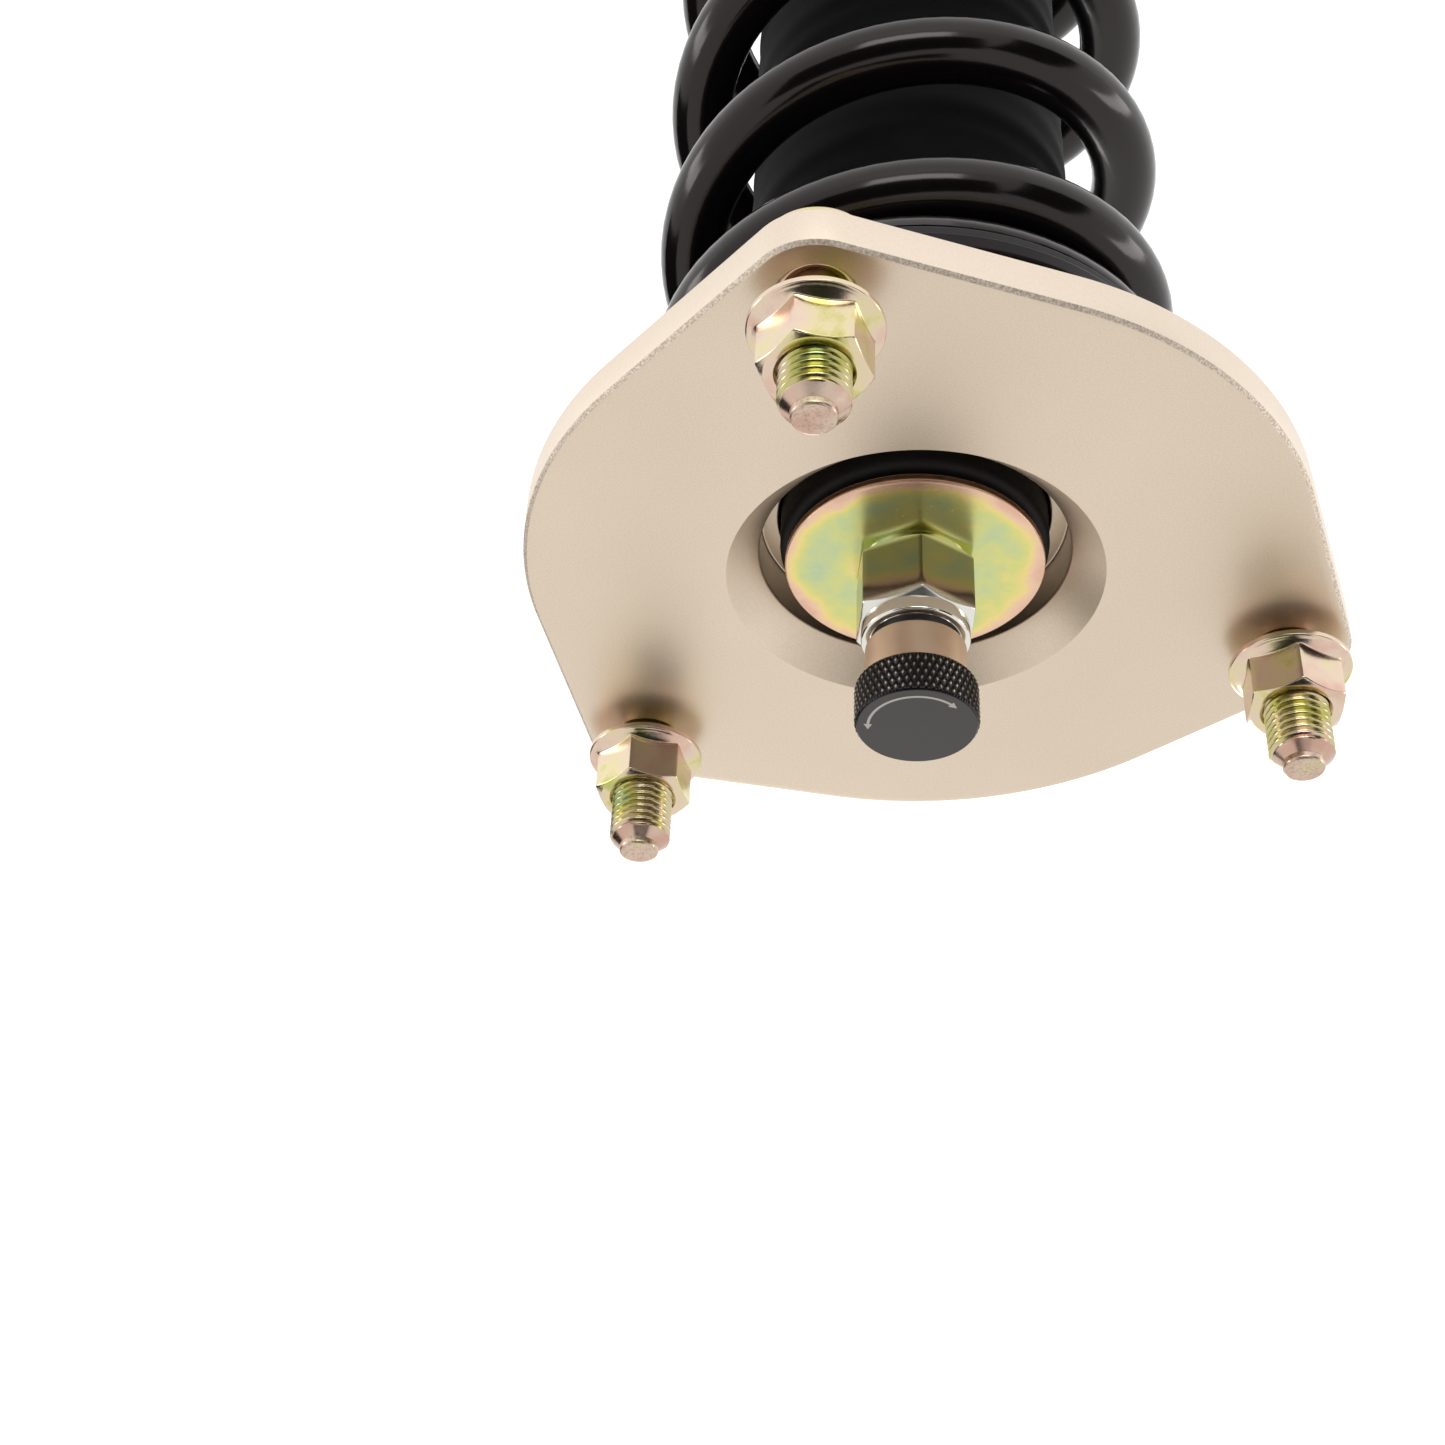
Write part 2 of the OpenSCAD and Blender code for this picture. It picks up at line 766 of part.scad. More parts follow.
cap_ring_z = body_bottom + cap_t - 4;
valve_r = 5;

module tube_end_cap() {
  color("silver")
    difference() {
      turned_ring(valve_r, bore_r, body_bottom, body_bottom + cap_t, 0.5);
      turned_ring(
        bore_r - o_ring_d, bore_r + cut, cap_ring_z - o_ring_groove / 2, cap_ring_z + o_ring_groove / 2
      );
    }
}

module end_cap_o_ring() {
  color("black") o_ring(bore_r, cap_ring_z);
}

module gas_valve() {
  color("goldenrod")
    difference() {
      union() {
        bar(valve_r, body_bottom, body_bottom + cap_t - 1);
        turned_ring(0, valve_r + 2, body_bottom - 1.5, body_bottom, 0.3);
      }
      translate([0, 0, body_bottom - 1.5 - cut])
        cylinder(h = 4 + cut, r = 2.9, $fn = 6);
    }
}

float_ring_z = float_bottom + float_h - 4;

module floating_piston() {
  color("silver")
    difference() {
      turned_ring(0, bore_r - running_gap, float_bottom, float_bottom + float_h, 0.5);
      bar(bore_r - 5, float_bottom - cut, float_bottom + float_h - 6);
      turned_ring(
        bore_r - running_gap - o_ring_d, bore_r + cut,
        float_ring_z - o_ring_groove / 2, float_ring_z + o_ring_groove / 2
      );
    }
}

module floating_piston_o_ring() {
  color("black") o_ring(bore_r - running_gap, float_ring_z);
}

// The wire falls with s, the turns from a tip, at a pitch that grows from closed to full
function tip_fall(s) =
  spring_pitch * (s < spring_ramp_turns ? s * s / (2 * spring_ramp_turns) : s - spring_ramp_turns / 2);
// Each tip is ground flat to half its thickness, so the wire's centre starts and ends at a seat
turns = spring_len / spring_pitch + spring_ramp_turns;
function wire_z(t) =
  spring_top - (t < turns / 2 ? tip_fall(t) : spring_len - tip_fall(turns - t));
function wire_angle(t) = spring_tip_angle - 360 * t;
rings_per_turn = 24;
wire_sides = 8;
wire_rings = ceil(turns * rings_per_turn);
function wire_turn(i) = turns * i / wire_rings;
function wire_centre(i) =
  let (t = wire_turn(i), a = wire_angle(t)) [coil_r * cos(a), coil_r * sin(a), wire_z(t)];
function wire_point(i, k) =
  let (
    t = wire_turn(i),
    a = wire_angle(t),
    b = 360 * (k + 0.5) / wire_sides,
    r = coil_r + wire_d / 2 * cos(b),
    z = wire_z(t) + wire_d / 2 * sin(b)
  )
  [r * cos(a), r * sin(a), max(spring_bottom, min(spring_top, z))];

module spring() {
  rings = [for (i = [0 : wire_rings], k = [0 : wire_sides - 1]) wire_point(i, k)];
  last = wire_rings * wire_sides;
  skin = [
    for (i = [0 : wire_rings - 1], k = [0 : wire_sides - 1])
      let (
        a = i * wire_sides + k,
        b = i * wire_sides + (k + 1) % wire_sides,
        c = a + wire_sides,
        d = b + wire_sides
      )
      each [[a, c, b], [b, c, d]]
  ];
  tip = [for (k = [1 : wire_sides - 2]) [0, k, k + 1]];
  tail = [for (k = [1 : wire_sides - 2]) [last, last + k + 1, last + k]];
  color("black") polyhedron(points = rings, faces = concat(skin, tip, tail));
}

// Least distance between two stretches of the wire that are more than half a turn apart
wire_centres = [for (i = [0 : wire_rings]) wire_centre(i)];
spring_gap = min([
  for (i = [0 : wire_rings - rings_per_turn / 2], j = [i + rings_per_turn / 2 : wire_rings])
    norm(wire_centres[i] - wire_centres[j])
]) - wire_d;
echo(spring_turns = turns, spring_self_gap_mm = spring_gap);

module lower_isolator() {
  color("dimgray") turned_ring(isolator_in_r, isolator_r, perch_top, spring_bottom, 0.4);
}

module spring_perch() {
  lip_in_r = lip_r - 3;
  chamfer = turned_chamfer;
  color("slategray")
    difference() {
      rotate_extrude()
        polygon([
          [ring_bore_r, perch_hub_bottom + thread_depth],
          [ring_bore_r + thread_depth, perch_hub_bottom], [lock_ring_r - chamfer, perch_hub_bottom],
          [lock_ring_r, perch_hub_bottom + chamfer], [lock_ring_r, perch_flange_bottom],
          [seat_r - chamfer, perch_flange_bottom], [seat_r, perch_flange_bottom + chamfer],
          [seat_r, perch_top - chamfer], [seat_r - chamfer, perch_top], [lip_r, perch_top],
          [lip_r, perch_top + lip_h - chamfer], [lip_r - chamfer, perch_top + lip_h],
          [lip_in_r, perch_top + lip_h], [lip_in_r, perch_top],
          [ring_bore_r + thread_depth, perch_top], [ring_bore_r, perch_top - thread_depth]
        ]);
      spanner_slots(
        lock_ring_r, perch_hub_bottom, perch_flange_bottom - 2, slot_count, slot_w, slot_depth
      );
    }
}

module perch_lock_ring() {
  color("slategray")
    difference() {
      turned_ring(
        ring_bore_r, lock_ring_r, perch_ring_bottom, perch_hub_bottom, turned_chamfer, thread_depth
      );
      spanner_slots(lock_ring_r, perch_ring_bottom, perch_hub_bottom, slot_count, slot_w, slot_depth);
    }
}

module lower_bracket() {
  color("black")
    difference() {
      union() {
        intersection() {
          sphere(r = ball_r);
          cube([2 * ball_d, 2 * ball_flat, 2 * ball_d], center = true);
        }
        intersection() {
          bar(neck_d / 2, 0, barrel_bottom + cut);
          translate([-neck_d, -neck_flats / 2, 0])
            cube([2 * neck_d, neck_flats, barrel_bottom + 2 * cut]);
        }
        turned_ring(0, barrel_d / 2, barrel_bottom, barrel_top, turned_chamfer);
      }
      bar(ring_bore_r, barrel_floor, barrel_top + cut);
      rotate([90, 0, 0]) cylinder(h = 2 * ball_d, r = eye_bore_r, center = true);
    }
}

module lower_lock_collar() {
  color("slategray")
    difference() {
      turned_ring(
        ring_bore_r, lock_ring_r, barrel_top, barrel_top + collar_h, turned_chamfer, thread_depth
      );
      spanner_slots(lock_ring_r, barrel_top, barrel_top + collar_h, slot_count, slot_w, slot_depth);
    }
}

// A solid of revolution about the bolt's axis, from a profile of [radius, y]
module about_bolt(profile) {
  rotate([-90, 0, 0]) rotate_extrude() polygon(profile);
}

module eye_bush_rubber() {
  shell_in_r = eye_bore_r - bush_shell_t;
  shell_y = ball_flat - 1;
  half = [
    [eye_bore_r, shell_y], [eye_bore_r, ball_flat], [bush_collar_r + 0.2, bush_cone_y],
    [bush_collar_r, bush_collar_y], [bush_bore_r, bush_collar_y]
  ];
  mirrored = [for (i = [len(half) - 1 : -1 : 0]) [half[i][0], -half[i][1]]];
  color("darkgray")
    about_bolt(concat([[shell_in_r, -shell_y], [shell_in_r, shell_y]], half, mirrored));
}

module eye_bush_shell() {
  half = ball_flat - 1;
  color("silver")
    about_bolt([
      [eye_bore_r - bush_shell_t, -half], [eye_bore_r, -half],
      [eye_bore_r, half], [eye_bore_r - bush_shell_t, half]
    ]);
}

module eye_sleeve() {
  half = sleeve_len / 2;
  edge = 0.3;
  color("khaki")
    about_bolt([
      [bolt_bore_d / 2, -half], [sleeve_r - edge, -half], [sleeve_r, edge - half],
      [sleeve_r, half - edge], [sleeve_r - edge, half], [bolt_bore_d / 2, half]
    ]);
}

mount_plate();
top_bush_rubber();
bush_retainer();
retainer_clip();
mount_studs();
stud_nuts();
bush_sleeve();
lower_washer();
rod_washer();
rod_nut();
nut_insert();
knob();
knob_collar();
knob_screw();
adjuster_pin();
metering_needle();
piston_rod();
upper_spring_seat();
spring_top_isolator();
bump_stop();
bump_stop_cup();
dust_boot();
topout_bumper();
compression_shims();
piston();
piston_band();
rebound_shims();
piston_nut();
damper_tube();
gland_nut();
rod_wiper();
rod_guide();
rod_seal();
rod_bush();
guide_o_ring();
tube_end_cap();
end_cap_o_ring();
gas_valve();
floating_piston();
floating_piston_o_ring();
spring();
lower_isolator();
spring_perch();
perch_lock_ring();
lower_bracket();
lower_lock_collar();
eye_bush_rubber();
eye_bush_shell();
eye_sleeve();
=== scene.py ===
# %% [markdown]
# # A coil-over damper, dressed
# The CAD model of this damper is loaded as a fixed frame, and this notebook gives it its looks.
# Most pieces were turned on a lathe, so most are made here by carrying a profile round an axis.
# What isn't round, such as a hexagon, a knurl or a thread, is the same surface with a radius that
# also depends on the angle. Sizes come from the frame, so the pieces fit with no fitting.

# %% Load the frame
import json
import math

import bmesh
import bpy
import numpy as np
from mathutils import Matrix, Vector


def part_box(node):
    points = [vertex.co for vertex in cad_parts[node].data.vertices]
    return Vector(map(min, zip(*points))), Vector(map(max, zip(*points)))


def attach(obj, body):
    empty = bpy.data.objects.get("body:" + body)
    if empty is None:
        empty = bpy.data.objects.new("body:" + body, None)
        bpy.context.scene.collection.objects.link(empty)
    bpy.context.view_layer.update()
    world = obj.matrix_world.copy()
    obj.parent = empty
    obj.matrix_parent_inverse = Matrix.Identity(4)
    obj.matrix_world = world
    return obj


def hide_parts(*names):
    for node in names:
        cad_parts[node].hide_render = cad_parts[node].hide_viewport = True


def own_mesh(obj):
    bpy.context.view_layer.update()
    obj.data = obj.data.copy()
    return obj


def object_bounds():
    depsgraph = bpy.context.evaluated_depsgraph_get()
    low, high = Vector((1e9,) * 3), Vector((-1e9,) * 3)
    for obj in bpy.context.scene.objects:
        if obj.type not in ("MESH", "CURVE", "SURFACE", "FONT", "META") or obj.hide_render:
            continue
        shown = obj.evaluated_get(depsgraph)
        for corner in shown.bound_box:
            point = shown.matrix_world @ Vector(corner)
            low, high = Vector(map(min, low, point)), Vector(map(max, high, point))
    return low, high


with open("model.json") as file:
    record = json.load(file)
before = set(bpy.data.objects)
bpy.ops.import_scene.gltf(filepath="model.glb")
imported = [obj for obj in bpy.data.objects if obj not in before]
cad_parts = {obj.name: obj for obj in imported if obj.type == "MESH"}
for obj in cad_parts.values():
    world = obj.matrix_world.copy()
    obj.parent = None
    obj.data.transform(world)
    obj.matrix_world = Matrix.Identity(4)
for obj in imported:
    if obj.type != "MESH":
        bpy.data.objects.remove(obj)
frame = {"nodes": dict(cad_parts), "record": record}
cad_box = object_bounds()
scene = bpy.context.scene
scene.view_settings.view_transform = "Standard"
MM = 0.001
print("CAD box", [round(x, 4) for corner in cad_box for x in corner])


# %% Read sizes from the frame
def levels(node):
    """A node's lowest and highest level and its reach along +X from the axis, in millimetres."""
    low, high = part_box(node)
    return low.z / MM, high.z / MM, high.x / MM


plate_low, plate_top, _ = levels("mount_plate")
print("the plate's top face is", round(plate_top, 2), "mm above the eye")

# %% [markdown]
# ## Camera
# The camera looks down past the mount plate from the front. It is rolled over, because the unit
# lies upside down in its picture: the body runs up and out of the frame. The lens is shifted: its
# axis meets the picture left of the middle and above it.

# %% Camera
PICTURE_PX = 1445
FOCAL_PX = 2372.6
AXIS_PX = (638.5, 620.5)
SENSOR_MM = 36
camera_data = bpy.data.cameras.new("camera")
camera_data.sensor_width = SENSOR_MM
camera_data.lens = FOCAL_PX / PICTURE_PX * SENSOR_MM
camera_data.shift_x = 0.5 - AXIS_PX[0] / PICTURE_PX
camera_data.shift_y = AXIS_PX[1] / PICTURE_PX - 0.5
camera = bpy.data.objects.new("camera", camera_data)
scene.collection.objects.link(camera)
scene.camera = camera
eye = Vector((57.92, 275.10, plate_top + 236.08)) * MM
forward = Vector((-0.27212, -0.72999, -0.62695)).normalized()
picture_up = Vector((0.14525, 0.61291, -0.77669))
picture_right = forward.cross(picture_up).normalized()
picture_up = picture_right.cross(forward).normalized()
turn = Matrix((picture_right, picture_up, -forward)).transposed()
camera.matrix_world = Matrix.Translation(eye) @ turn.to_4x4()
print("lens", round(camera_data.lens, 2), "mm")

# %% [markdown]
# ## Surfaces from grids
# A surface here is a grid of points, rows by columns, made by numpy as one array. Quads join the
# neighbours, and the last column to the first. A closed skin has a signed volume, so its faces are
# turned round where that is negative. Rows that shrink to a point make a pole, whose doubled
# corners are merged.

# %% Grid to mesh
SAME_M, SLIVER_M = 2e-7, 1e-7


def grid_quads(index):
    """The quads between neighbouring rows and columns of a grid of point numbers."""
    quads = [index[:-1, :-1], index[:-1, 1:], index[1:, 1:], index[1:, :-1]]
    return np.stack(quads, axis=-1).reshape(-1, 4)


def skin(name, points, close_rows=True, close_columns=True):
    """A mesh object from points[rows, columns, 3] in millimetres."""
    rows, columns = points.shape[:2]
    index = np.arange(rows * columns).reshape(rows, columns)
    if close_columns:
        index = np.concatenate([index, index[:, :1]], axis=1)
    if close_rows:
        index = np.concatenate([index, index[:1]], axis=0)
    return shell(name, points.reshape(-1, 3), grid_quads(index))


def shell(name, points, quads):
    """A mesh object from points and quads. Its faces point outwards if it is closed."""
    a, b, c, d = (points[quads[:, i]] for i in range(4))
    volume = np.einsum("ij,ij->", a, np.cross(b, c)) + np.einsum("ij,ij->", a, np.cross(c, d))
    if volume < 0:
        quads = quads[:, ::-1]
    mesh = bpy.data.meshes.new(name)
    mesh.vertices.add(len(points))
    mesh.vertices.foreach_set("co", (points * MM).astype(np.float32).ravel())
    mesh.loops.add(quads.size)
    mesh.loops.foreach_set("vertex_index", quads.astype(np.int32).ravel())
    mesh.polygons.add(len(quads))
    mesh.polygons.foreach_set("loop_start", np.arange(0, quads.size, 4, dtype=np.int32))
    mesh.update(calc_edges=True)
    piece = bpy.data.objects.new(name, mesh)
    scene.collection.objects.link(piece)
    return piece


def settle(piece, sharp_deg=40):
    """Merges doubled corners, drops faces with no area, and smooths all but the sharp edges."""
    work = bmesh.new()
    work.from_mesh(piece.data)
    bmesh.ops.remove_doubles(work, verts=work.verts, dist=SAME_M)
    bmesh.ops.dissolve_degenerate(work, edges=work.edges, dist=SLIVER_M)
    work.to_mesh(piece.data)
    work.free()
    piece.data.shade_smooth()
    piece.data.set_sharp_from_angle(angle=math.radians(sharp_deg))
    return piece


# %% [markdown]
# ## Turned profiles
# No machined edge is truly sharp: each corner of a profile is rounded, and a point just outside the
# rounding keeps its shading from bleeding into the flat beside it.

# %% Rounded profile
ROUND_SHARE = 0.4  # of the shorter run beside a corner, at most, is rounded off
GUARD_REACH, GUARD_RUN = 0.25, 0.08  # where the guard point lies, as shares of rounding and run


def rounded(corners, radius=0.3, steps=4, closed=True):
    """Rounds each corner of an outline of (radius, level) corners. A corner P between A and B gives
    the quadratic curve from P + d (A - P) to P + d (B - P) with P as its handle. A corner on the
    axis stays as it is."""
    p = np.array(corners, float)
    before, after = np.roll(p, 1, axis=0), np.roll(p, -1, axis=0)
    to_a, to_b = before - p, after - p
    len_a = np.linalg.norm(to_a, axis=1, keepdims=True)
    len_b = np.linalg.norm(to_b, axis=1, keepdims=True)
    reach = np.minimum(radius, ROUND_SHARE * np.minimum(len_a, len_b))
    reach[p[:, 0] == 0] = 0
    start, end = p + to_a / len_a * reach, p + to_b / len_b * reach
    t = np.linspace(0, 1, steps + 1)[None, :, None]
    curve = (1 - t) ** 2 * start[:, None] + 2 * t * (1 - t) * p[:, None] + t**2 * end[:, None]
    guard_a = start + to_a / len_a * np.minimum(GUARD_REACH * reach, GUARD_RUN * len_a)
    guard_b = end + to_b / len_b * np.minimum(GUARD_REACH * reach, GUARD_RUN * len_b)
    outline = np.concatenate([guard_a[:, None], curve, guard_b[:, None]], axis=1)
    if not closed:
        outline[0], outline[-1] = p[0], p[-1]
    return outline.reshape(-1, 2)


def dense(outline, step):
    """Adds points along an outline's long runs, so that none is longer than step."""
    after = np.roll(outline, -1, axis=0)
    counts = np.maximum(1, np.ceil(np.linalg.norm(after - outline, axis=1) / step)).astype(int)
    runs = [a + (b - a) * np.arange(n)[:, None] / n for a, b, n in zip(outline, after, counts)]
    return np.concatenate(runs)


def full_turn(columns):
    """Evenly spaced angles once round, as one row."""
    return np.arange(columns)[None, :] * 2 * np.pi / columns


def about(axis, radius, level, angle, centre=(0, 0)):
    """Points at a radius and a level on an axis: level runs along it, and angle turns about it. A Z
    axis goes through centre."""
    across, up = radius * np.cos(angle), radius * np.sin(angle)
    along = np.broadcast_to(level, across.shape)
    if axis == "y":
        return np.stack([across, along, -up], axis=-1)
    return np.stack([across + centre[0], up + centre[1], along], axis=-1)


def turned(name, corners, radius=0.3, columns=128, axis="z", centre=(0, 0)):
    """A solid of revolution from a closed outline of (radius, level) corners. The outline is taken
    as it is where the radius of its rounding is 0."""
    outline = rounded(corners, radius) if radius else corners
    points = about(axis, outline[:, :1], outline[:, 1:], full_turn(columns), centre)
    return settle(skin(name, points))


def section(inner, outer, low, high):
    """The four corners of a plain ring, or of a disc where inner is 0."""
    return [(inner, low), (outer, low), (outer, high), (inner, high)]


# %% [markdown]
# ## Shader maths
# A finish is mostly arithmetic on noise. Wrapping a socket in a small class lets that arithmetic be
# written as Python: `0.3 + 0.1 * grain` adds the two Math nodes by itself.


# %% Sockets as numbers
def maths(operation, swapped=False):
    """A method of Wire that adds one Math node."""

    def method(self, other):
        a, b = (other, self) if swapped else (self, other)
        return self.nodes.node("Math", {"operation": operation}, {0: a, 1: b})

    return method


class Wire:
    """A node's output that adds Math nodes when it is used in an expression."""

    def __init__(self, nodes, socket):
        self.nodes, self.socket = nodes, socket

    __add__ = __radd__ = maths("ADD")
    __mul__ = __rmul__ = maths("MULTIPLY")
    __sub__, __rsub__ = maths("SUBTRACT"), maths("SUBTRACT", swapped=True)
    __pow__ = maths("POWER")


class Nodes:
    """A node tree under construction."""

    def __init__(self, tree):
        self.tree = tree

    def node(self, kind, settings=None, values=None, out=0):
        """Adds a node: its settings first, then the values or links of its inputs."""
        node = self.tree.nodes.new("ShaderNode" + kind)
        for key, value in (settings or {}).items():
            if key == "stops":
                self._stops(node.color_ramp, value)
            else:
                setattr(node, key, value)
        for key, value in (values or {}).items():
            self.feed(node.inputs[key], value)
        return Wire(self, node.outputs[out])

    def _stops(self, ramp, stops):
        for _ in stops[2:]:
            ramp.elements.new(0.5)
        for element, (position, colour) in zip(ramp.elements, stops):
            element.position, element.color = position, (*colour, 1)

    def feed(self, socket, value):
        if isinstance(value, Wire):
            self.tree.links.new(value.socket, socket)
        elif isinstance(value, tuple) and len(value) == 3 and socket.type == "RGBA":
            socket.default_value = (*value, 1)
        else:
            socket.default_value = value

    def seen(self):
        """1 for rays from the camera, straight or by a mirror or glass, and 0 for the rest."""
        path = self.tree.nodes.new("ShaderNodeLightPath")
        kinds = ("Is Camera Ray", "Is Glossy Ray", "Is Transmission Ray")
        straight, mirror, glass = (Wire(self, path.outputs[kind]) for kind in kinds)
        return self.node("Math", {"operation": "MINIMUM"}, {0: straight + mirror + glass, 1: 1.0})


FINISHES = {}


class Finish(Nodes):
    """A material around one Principled shader. FINISHES keeps it by its name."""

    def __init__(self, name):
        self.material = FINISHES[name] = bpy.data.materials.new(name)
        self.material.use_nodes = True
        super().__init__(self.material.node_tree)
        self.shader = self.tree.nodes["Principled BSDF"]
        self.place = self.node("TexCoord", out="Object")

    def set(self, **sockets):
        """Feeds the shader's sockets: Base_Color=... sets Base Color."""
        for key, value in sockets.items():
            self.feed(self.shader.inputs[key.replace("_", " ")], value)

    def surface(self, colour, rough, height, depth_mm, strength, **others):
        """Sets colour, roughness and relief, and others of the shader's sockets by their names."""
        normal = self.bump(height, depth_mm, strength)
        self.set(Base_Color=colour, Roughness=rough, Normal=normal, **others)

    def noise(self, size_mm, detail=2.0, rough=0.5, stretch=None, seed=0.0):
        """Noise from 0 to 1 whose features are about size_mm wide, or stretched along an axis."""
        place = self.place
        if stretch or seed:
            values = {"Vector": place, "Scale": stretch or (1, 1, 1), "Location": (seed,) * 3}
            place = self.node("Mapping", {}, values)
        scale = 1 / (size_mm * MM)
        values = {"Vector": place, "Scale": scale, "Detail": detail, "Roughness": rough}
        return self.node("TexNoise", {}, values, out="Fac")

    def mix(self, mask, a, b):
        """Colour a where mask is 0, and b where it is 1."""
        return self.node("Mix", {"data_type": "RGBA"}, {0: mask, 6: a, 7: b}, out=2)

    def ramp(self, value, stops):
        return self.node("ValToRGB", {"stops": stops}, {"Fac": value})

    def bump(self, height, depth_mm, strength):
        values = {"Height": height, "Distance": depth_mm * MM, "Strength": strength}
        return self.node("Bump", {}, values)

    def between(self, value, low, high):
        """0 below low, 1 above high, and smooth in between."""
        values = {"Value": value, "From Min": low, "From Max": high}
        return self.node("MapRange", {"interpolation_type": "SMOOTHSTEP"}, values)

    def xyz(self):
        split = self.tree.nodes.new("ShaderNodeSeparateXYZ")
        self.feed(split.inputs[0], self.place)
        return [Wire(self, socket) for socket in split.outputs]

    def level(self):
        """Height, in millimetres."""
        return self.xyz()[2] * (1 / MM)

    def from_axis(self):
        """Distance from the Z axis, in millimetres."""
        x, y, _ = self.xyz()
        return (x * x + y * y) ** 0.5 * (1 / MM)


# %% [markdown]
# ## Finishes
# The plate is bead-blasted before it is anodised, so its surface is a fine, even grain that spreads
# every reflection. The grain is real relief, so it is a bump, with a slight change of roughness.
# The chamfer along the rim has a coarser grain, whose specks are painted into its colour as bright
# glints and dark shade. The plate's side is painted a little lighter, as light from the side.

# %% Bead-blasted champagne anodising
PLATE_CHAMFER = 0.6
OUTER_FROM_R = 31  # outside the recess
# PAINTED_GLINT is a painted highlight, used for the chamfer's glints and for the lighter side.
LIGHT, DARK, PAINTED_GLINT = (0.77, 0.655, 0.525), (0.69, 0.58, 0.455), (0.88, 0.78, 0.69)

finish = Finish("champagne_anodised")
grain = finish.noise(0.30, detail=3, rough=0.65)
cloud = finish.noise(40, detail=2)
level = finish.level()
side_top = plate_top - PLATE_CHAMFER
outer = finish.between(finish.from_axis(), OUTER_FROM_R, OUTER_FROM_R + 1)
below_top = 1 - finish.between(level, plate_top - 0.08, plate_top - 0.02)
above_side = finish.between(level, side_top - 0.06, side_top)
chamfer = outer * below_top * above_side
# Specks of painted glint and painted shade on the chamfer; the same specks are also its relief.
glint_specks = finish.between(finish.noise(0.34, detail=3, rough=0.7, seed=0.2), 0.36, 0.66)
shade = finish.mix(finish.between(cloud * 0.25 + grain * 0.75, 0.34, 0.66), DARK, LIGHT)
# Painted light: the plate's side below the chamfer is mixed 30% towards the glint colour.
shade = finish.mix(outer * (1 - above_side) * 0.3, shade, PAINTED_GLINT)
# The chamfer's dark specks are painted shade.
shadow = tuple(0.78 * c for c in DARK)
finish.surface(
    finish.mix(chamfer, shade, finish.mix(glint_specks, shadow, PAINTED_GLINT)),
    0.34 + 0.12 * grain + 0.22 * chamfer,
    grain * 0.6 + glint_specks * chamfer * 0.35, 0.05, 0.55, Metallic=1.0,
)

# %% [markdown]
# Yellow zinc plate is a clear chromate film over bright zinc. As the film's thickness wanders, so
# does its colour: yellow-green, straw, pink and teal. Noise picks the place on that scale.

# %% Yellow zinc
FILM = [
    (0.18, (0.72, 0.46, 0.36)),
    (0.34, (0.80, 0.63, 0.50)),
    (0.45, (0.78, 0.68, 0.40)),
    (0.55, (0.60, 0.56, 0.17)),
    (0.65, (0.44, 0.50, 0.27)),
    (0.76, (0.76, 0.66, 0.32)),
    (0.88, (0.80, 0.56, 0.42)),
]


def yellow_zinc(name, spread=1.3, shift=0.0, shine=1.0, rough=0.12, pits=0.0, pink_above=None):
    """Zinc under its film, dulled where shine is below 1. pits above 0 give it the dents of a
    cropped end, and above the level pink_above the film is thinner."""
    finish = Finish(name)
    patch = finish.noise(9, detail=2.5, rough=0.55)
    fine = finish.noise(0.45, detail=3, rough=0.6)
    film = (patch - 0.5) * spread + 0.5 + shift + (fine - 0.5) * 0.10
    if pink_above:
        film = film - 0.22 * finish.between(finish.level(), pink_above - 0.3, pink_above)
    colour = finish.ramp(film, [(at, tuple(shine * c for c in shade)) for at, shade in FILM])
    height = fine
    if pits:
        pit = finish.between(finish.noise(0.45, detail=3, rough=0.7, seed=0.61), 0.46, 0.66)
        colour = finish.mix(pit * pits, colour, (0.36, 0.25, 0.18))
        height = fine - 1.5 * pits * pit
    finish.surface(colour, rough + 0.12 * fine, height, 0.012, 0.4, Metallic=1.0)


yellow_zinc("yellow_zinc")
yellow_zinc("yellow_zinc_nut", spread=1.0, shift=-0.11, shine=0.92)
yellow_zinc("yellow_zinc_cropped_end", spread=1.0, shift=-0.17, shine=0.80, rough=0.26, pits=0.6)

# %% [markdown]
# The washer's film is thinnest at its rim, so its colours run in rings that the patches bend.

# %% Washer's film
WASHER_FILM = [
    (0.12, (0.74, 0.46, 0.34)),
    (0.27, (0.82, 0.56, 0.40)),
    (0.40, (0.84, 0.68, 0.26)),
    (0.53, (0.68, 0.67, 0.24)),
    (0.66, (0.56, 0.63, 0.31)),
    (0.78, (0.46, 0.57, 0.40)),
    (0.92, (0.72, 0.66, 0.28)),
]
THINNING_R = (14.8, 20.4)

finish = Finish("yellow_zinc_washer")
patch = finish.noise(9, detail=3, rough=0.6, seed=0.37)
fine = finish.noise(0.5, detail=3)
ring = finish.between(finish.from_axis(), *THINNING_R)
film = 0.60 - 0.42 * ring**1.4 + (patch - 0.5) * 0.85 + (fine - 0.5) * 0.05
colour = finish.ramp(film, WASHER_FILM)
finish.surface(colour, 0.20 + 0.10 * fine, fine, 0.008, 0.3, Metallic=1.0)

# %% Bright plate, chrome and plain steels
TOOL_RINGS = (0.02, 0.02, 1)


def bright_metal(name, colour, rough, lathe=0.0, tint=None):
    """A metal with faint handling marks. lathe adds the fine rings that a turning tool leaves."""
    finish = Finish(name)
    marks = finish.noise(1.3, detail=4, rough=0.65)
    cloud = finish.noise(8, detail=2)
    height = marks * 0.4
    if lathe:
        height = height + lathe * finish.noise(0.16, detail=1, stretch=TOOL_RINGS)
    colour = finish.mix(finish.between(cloud, 0.35, 0.7), colour, tint or colour)
    finish.surface(colour, rough + 0.07 * marks, height, 0.01, 0.4, Metallic=1.0)


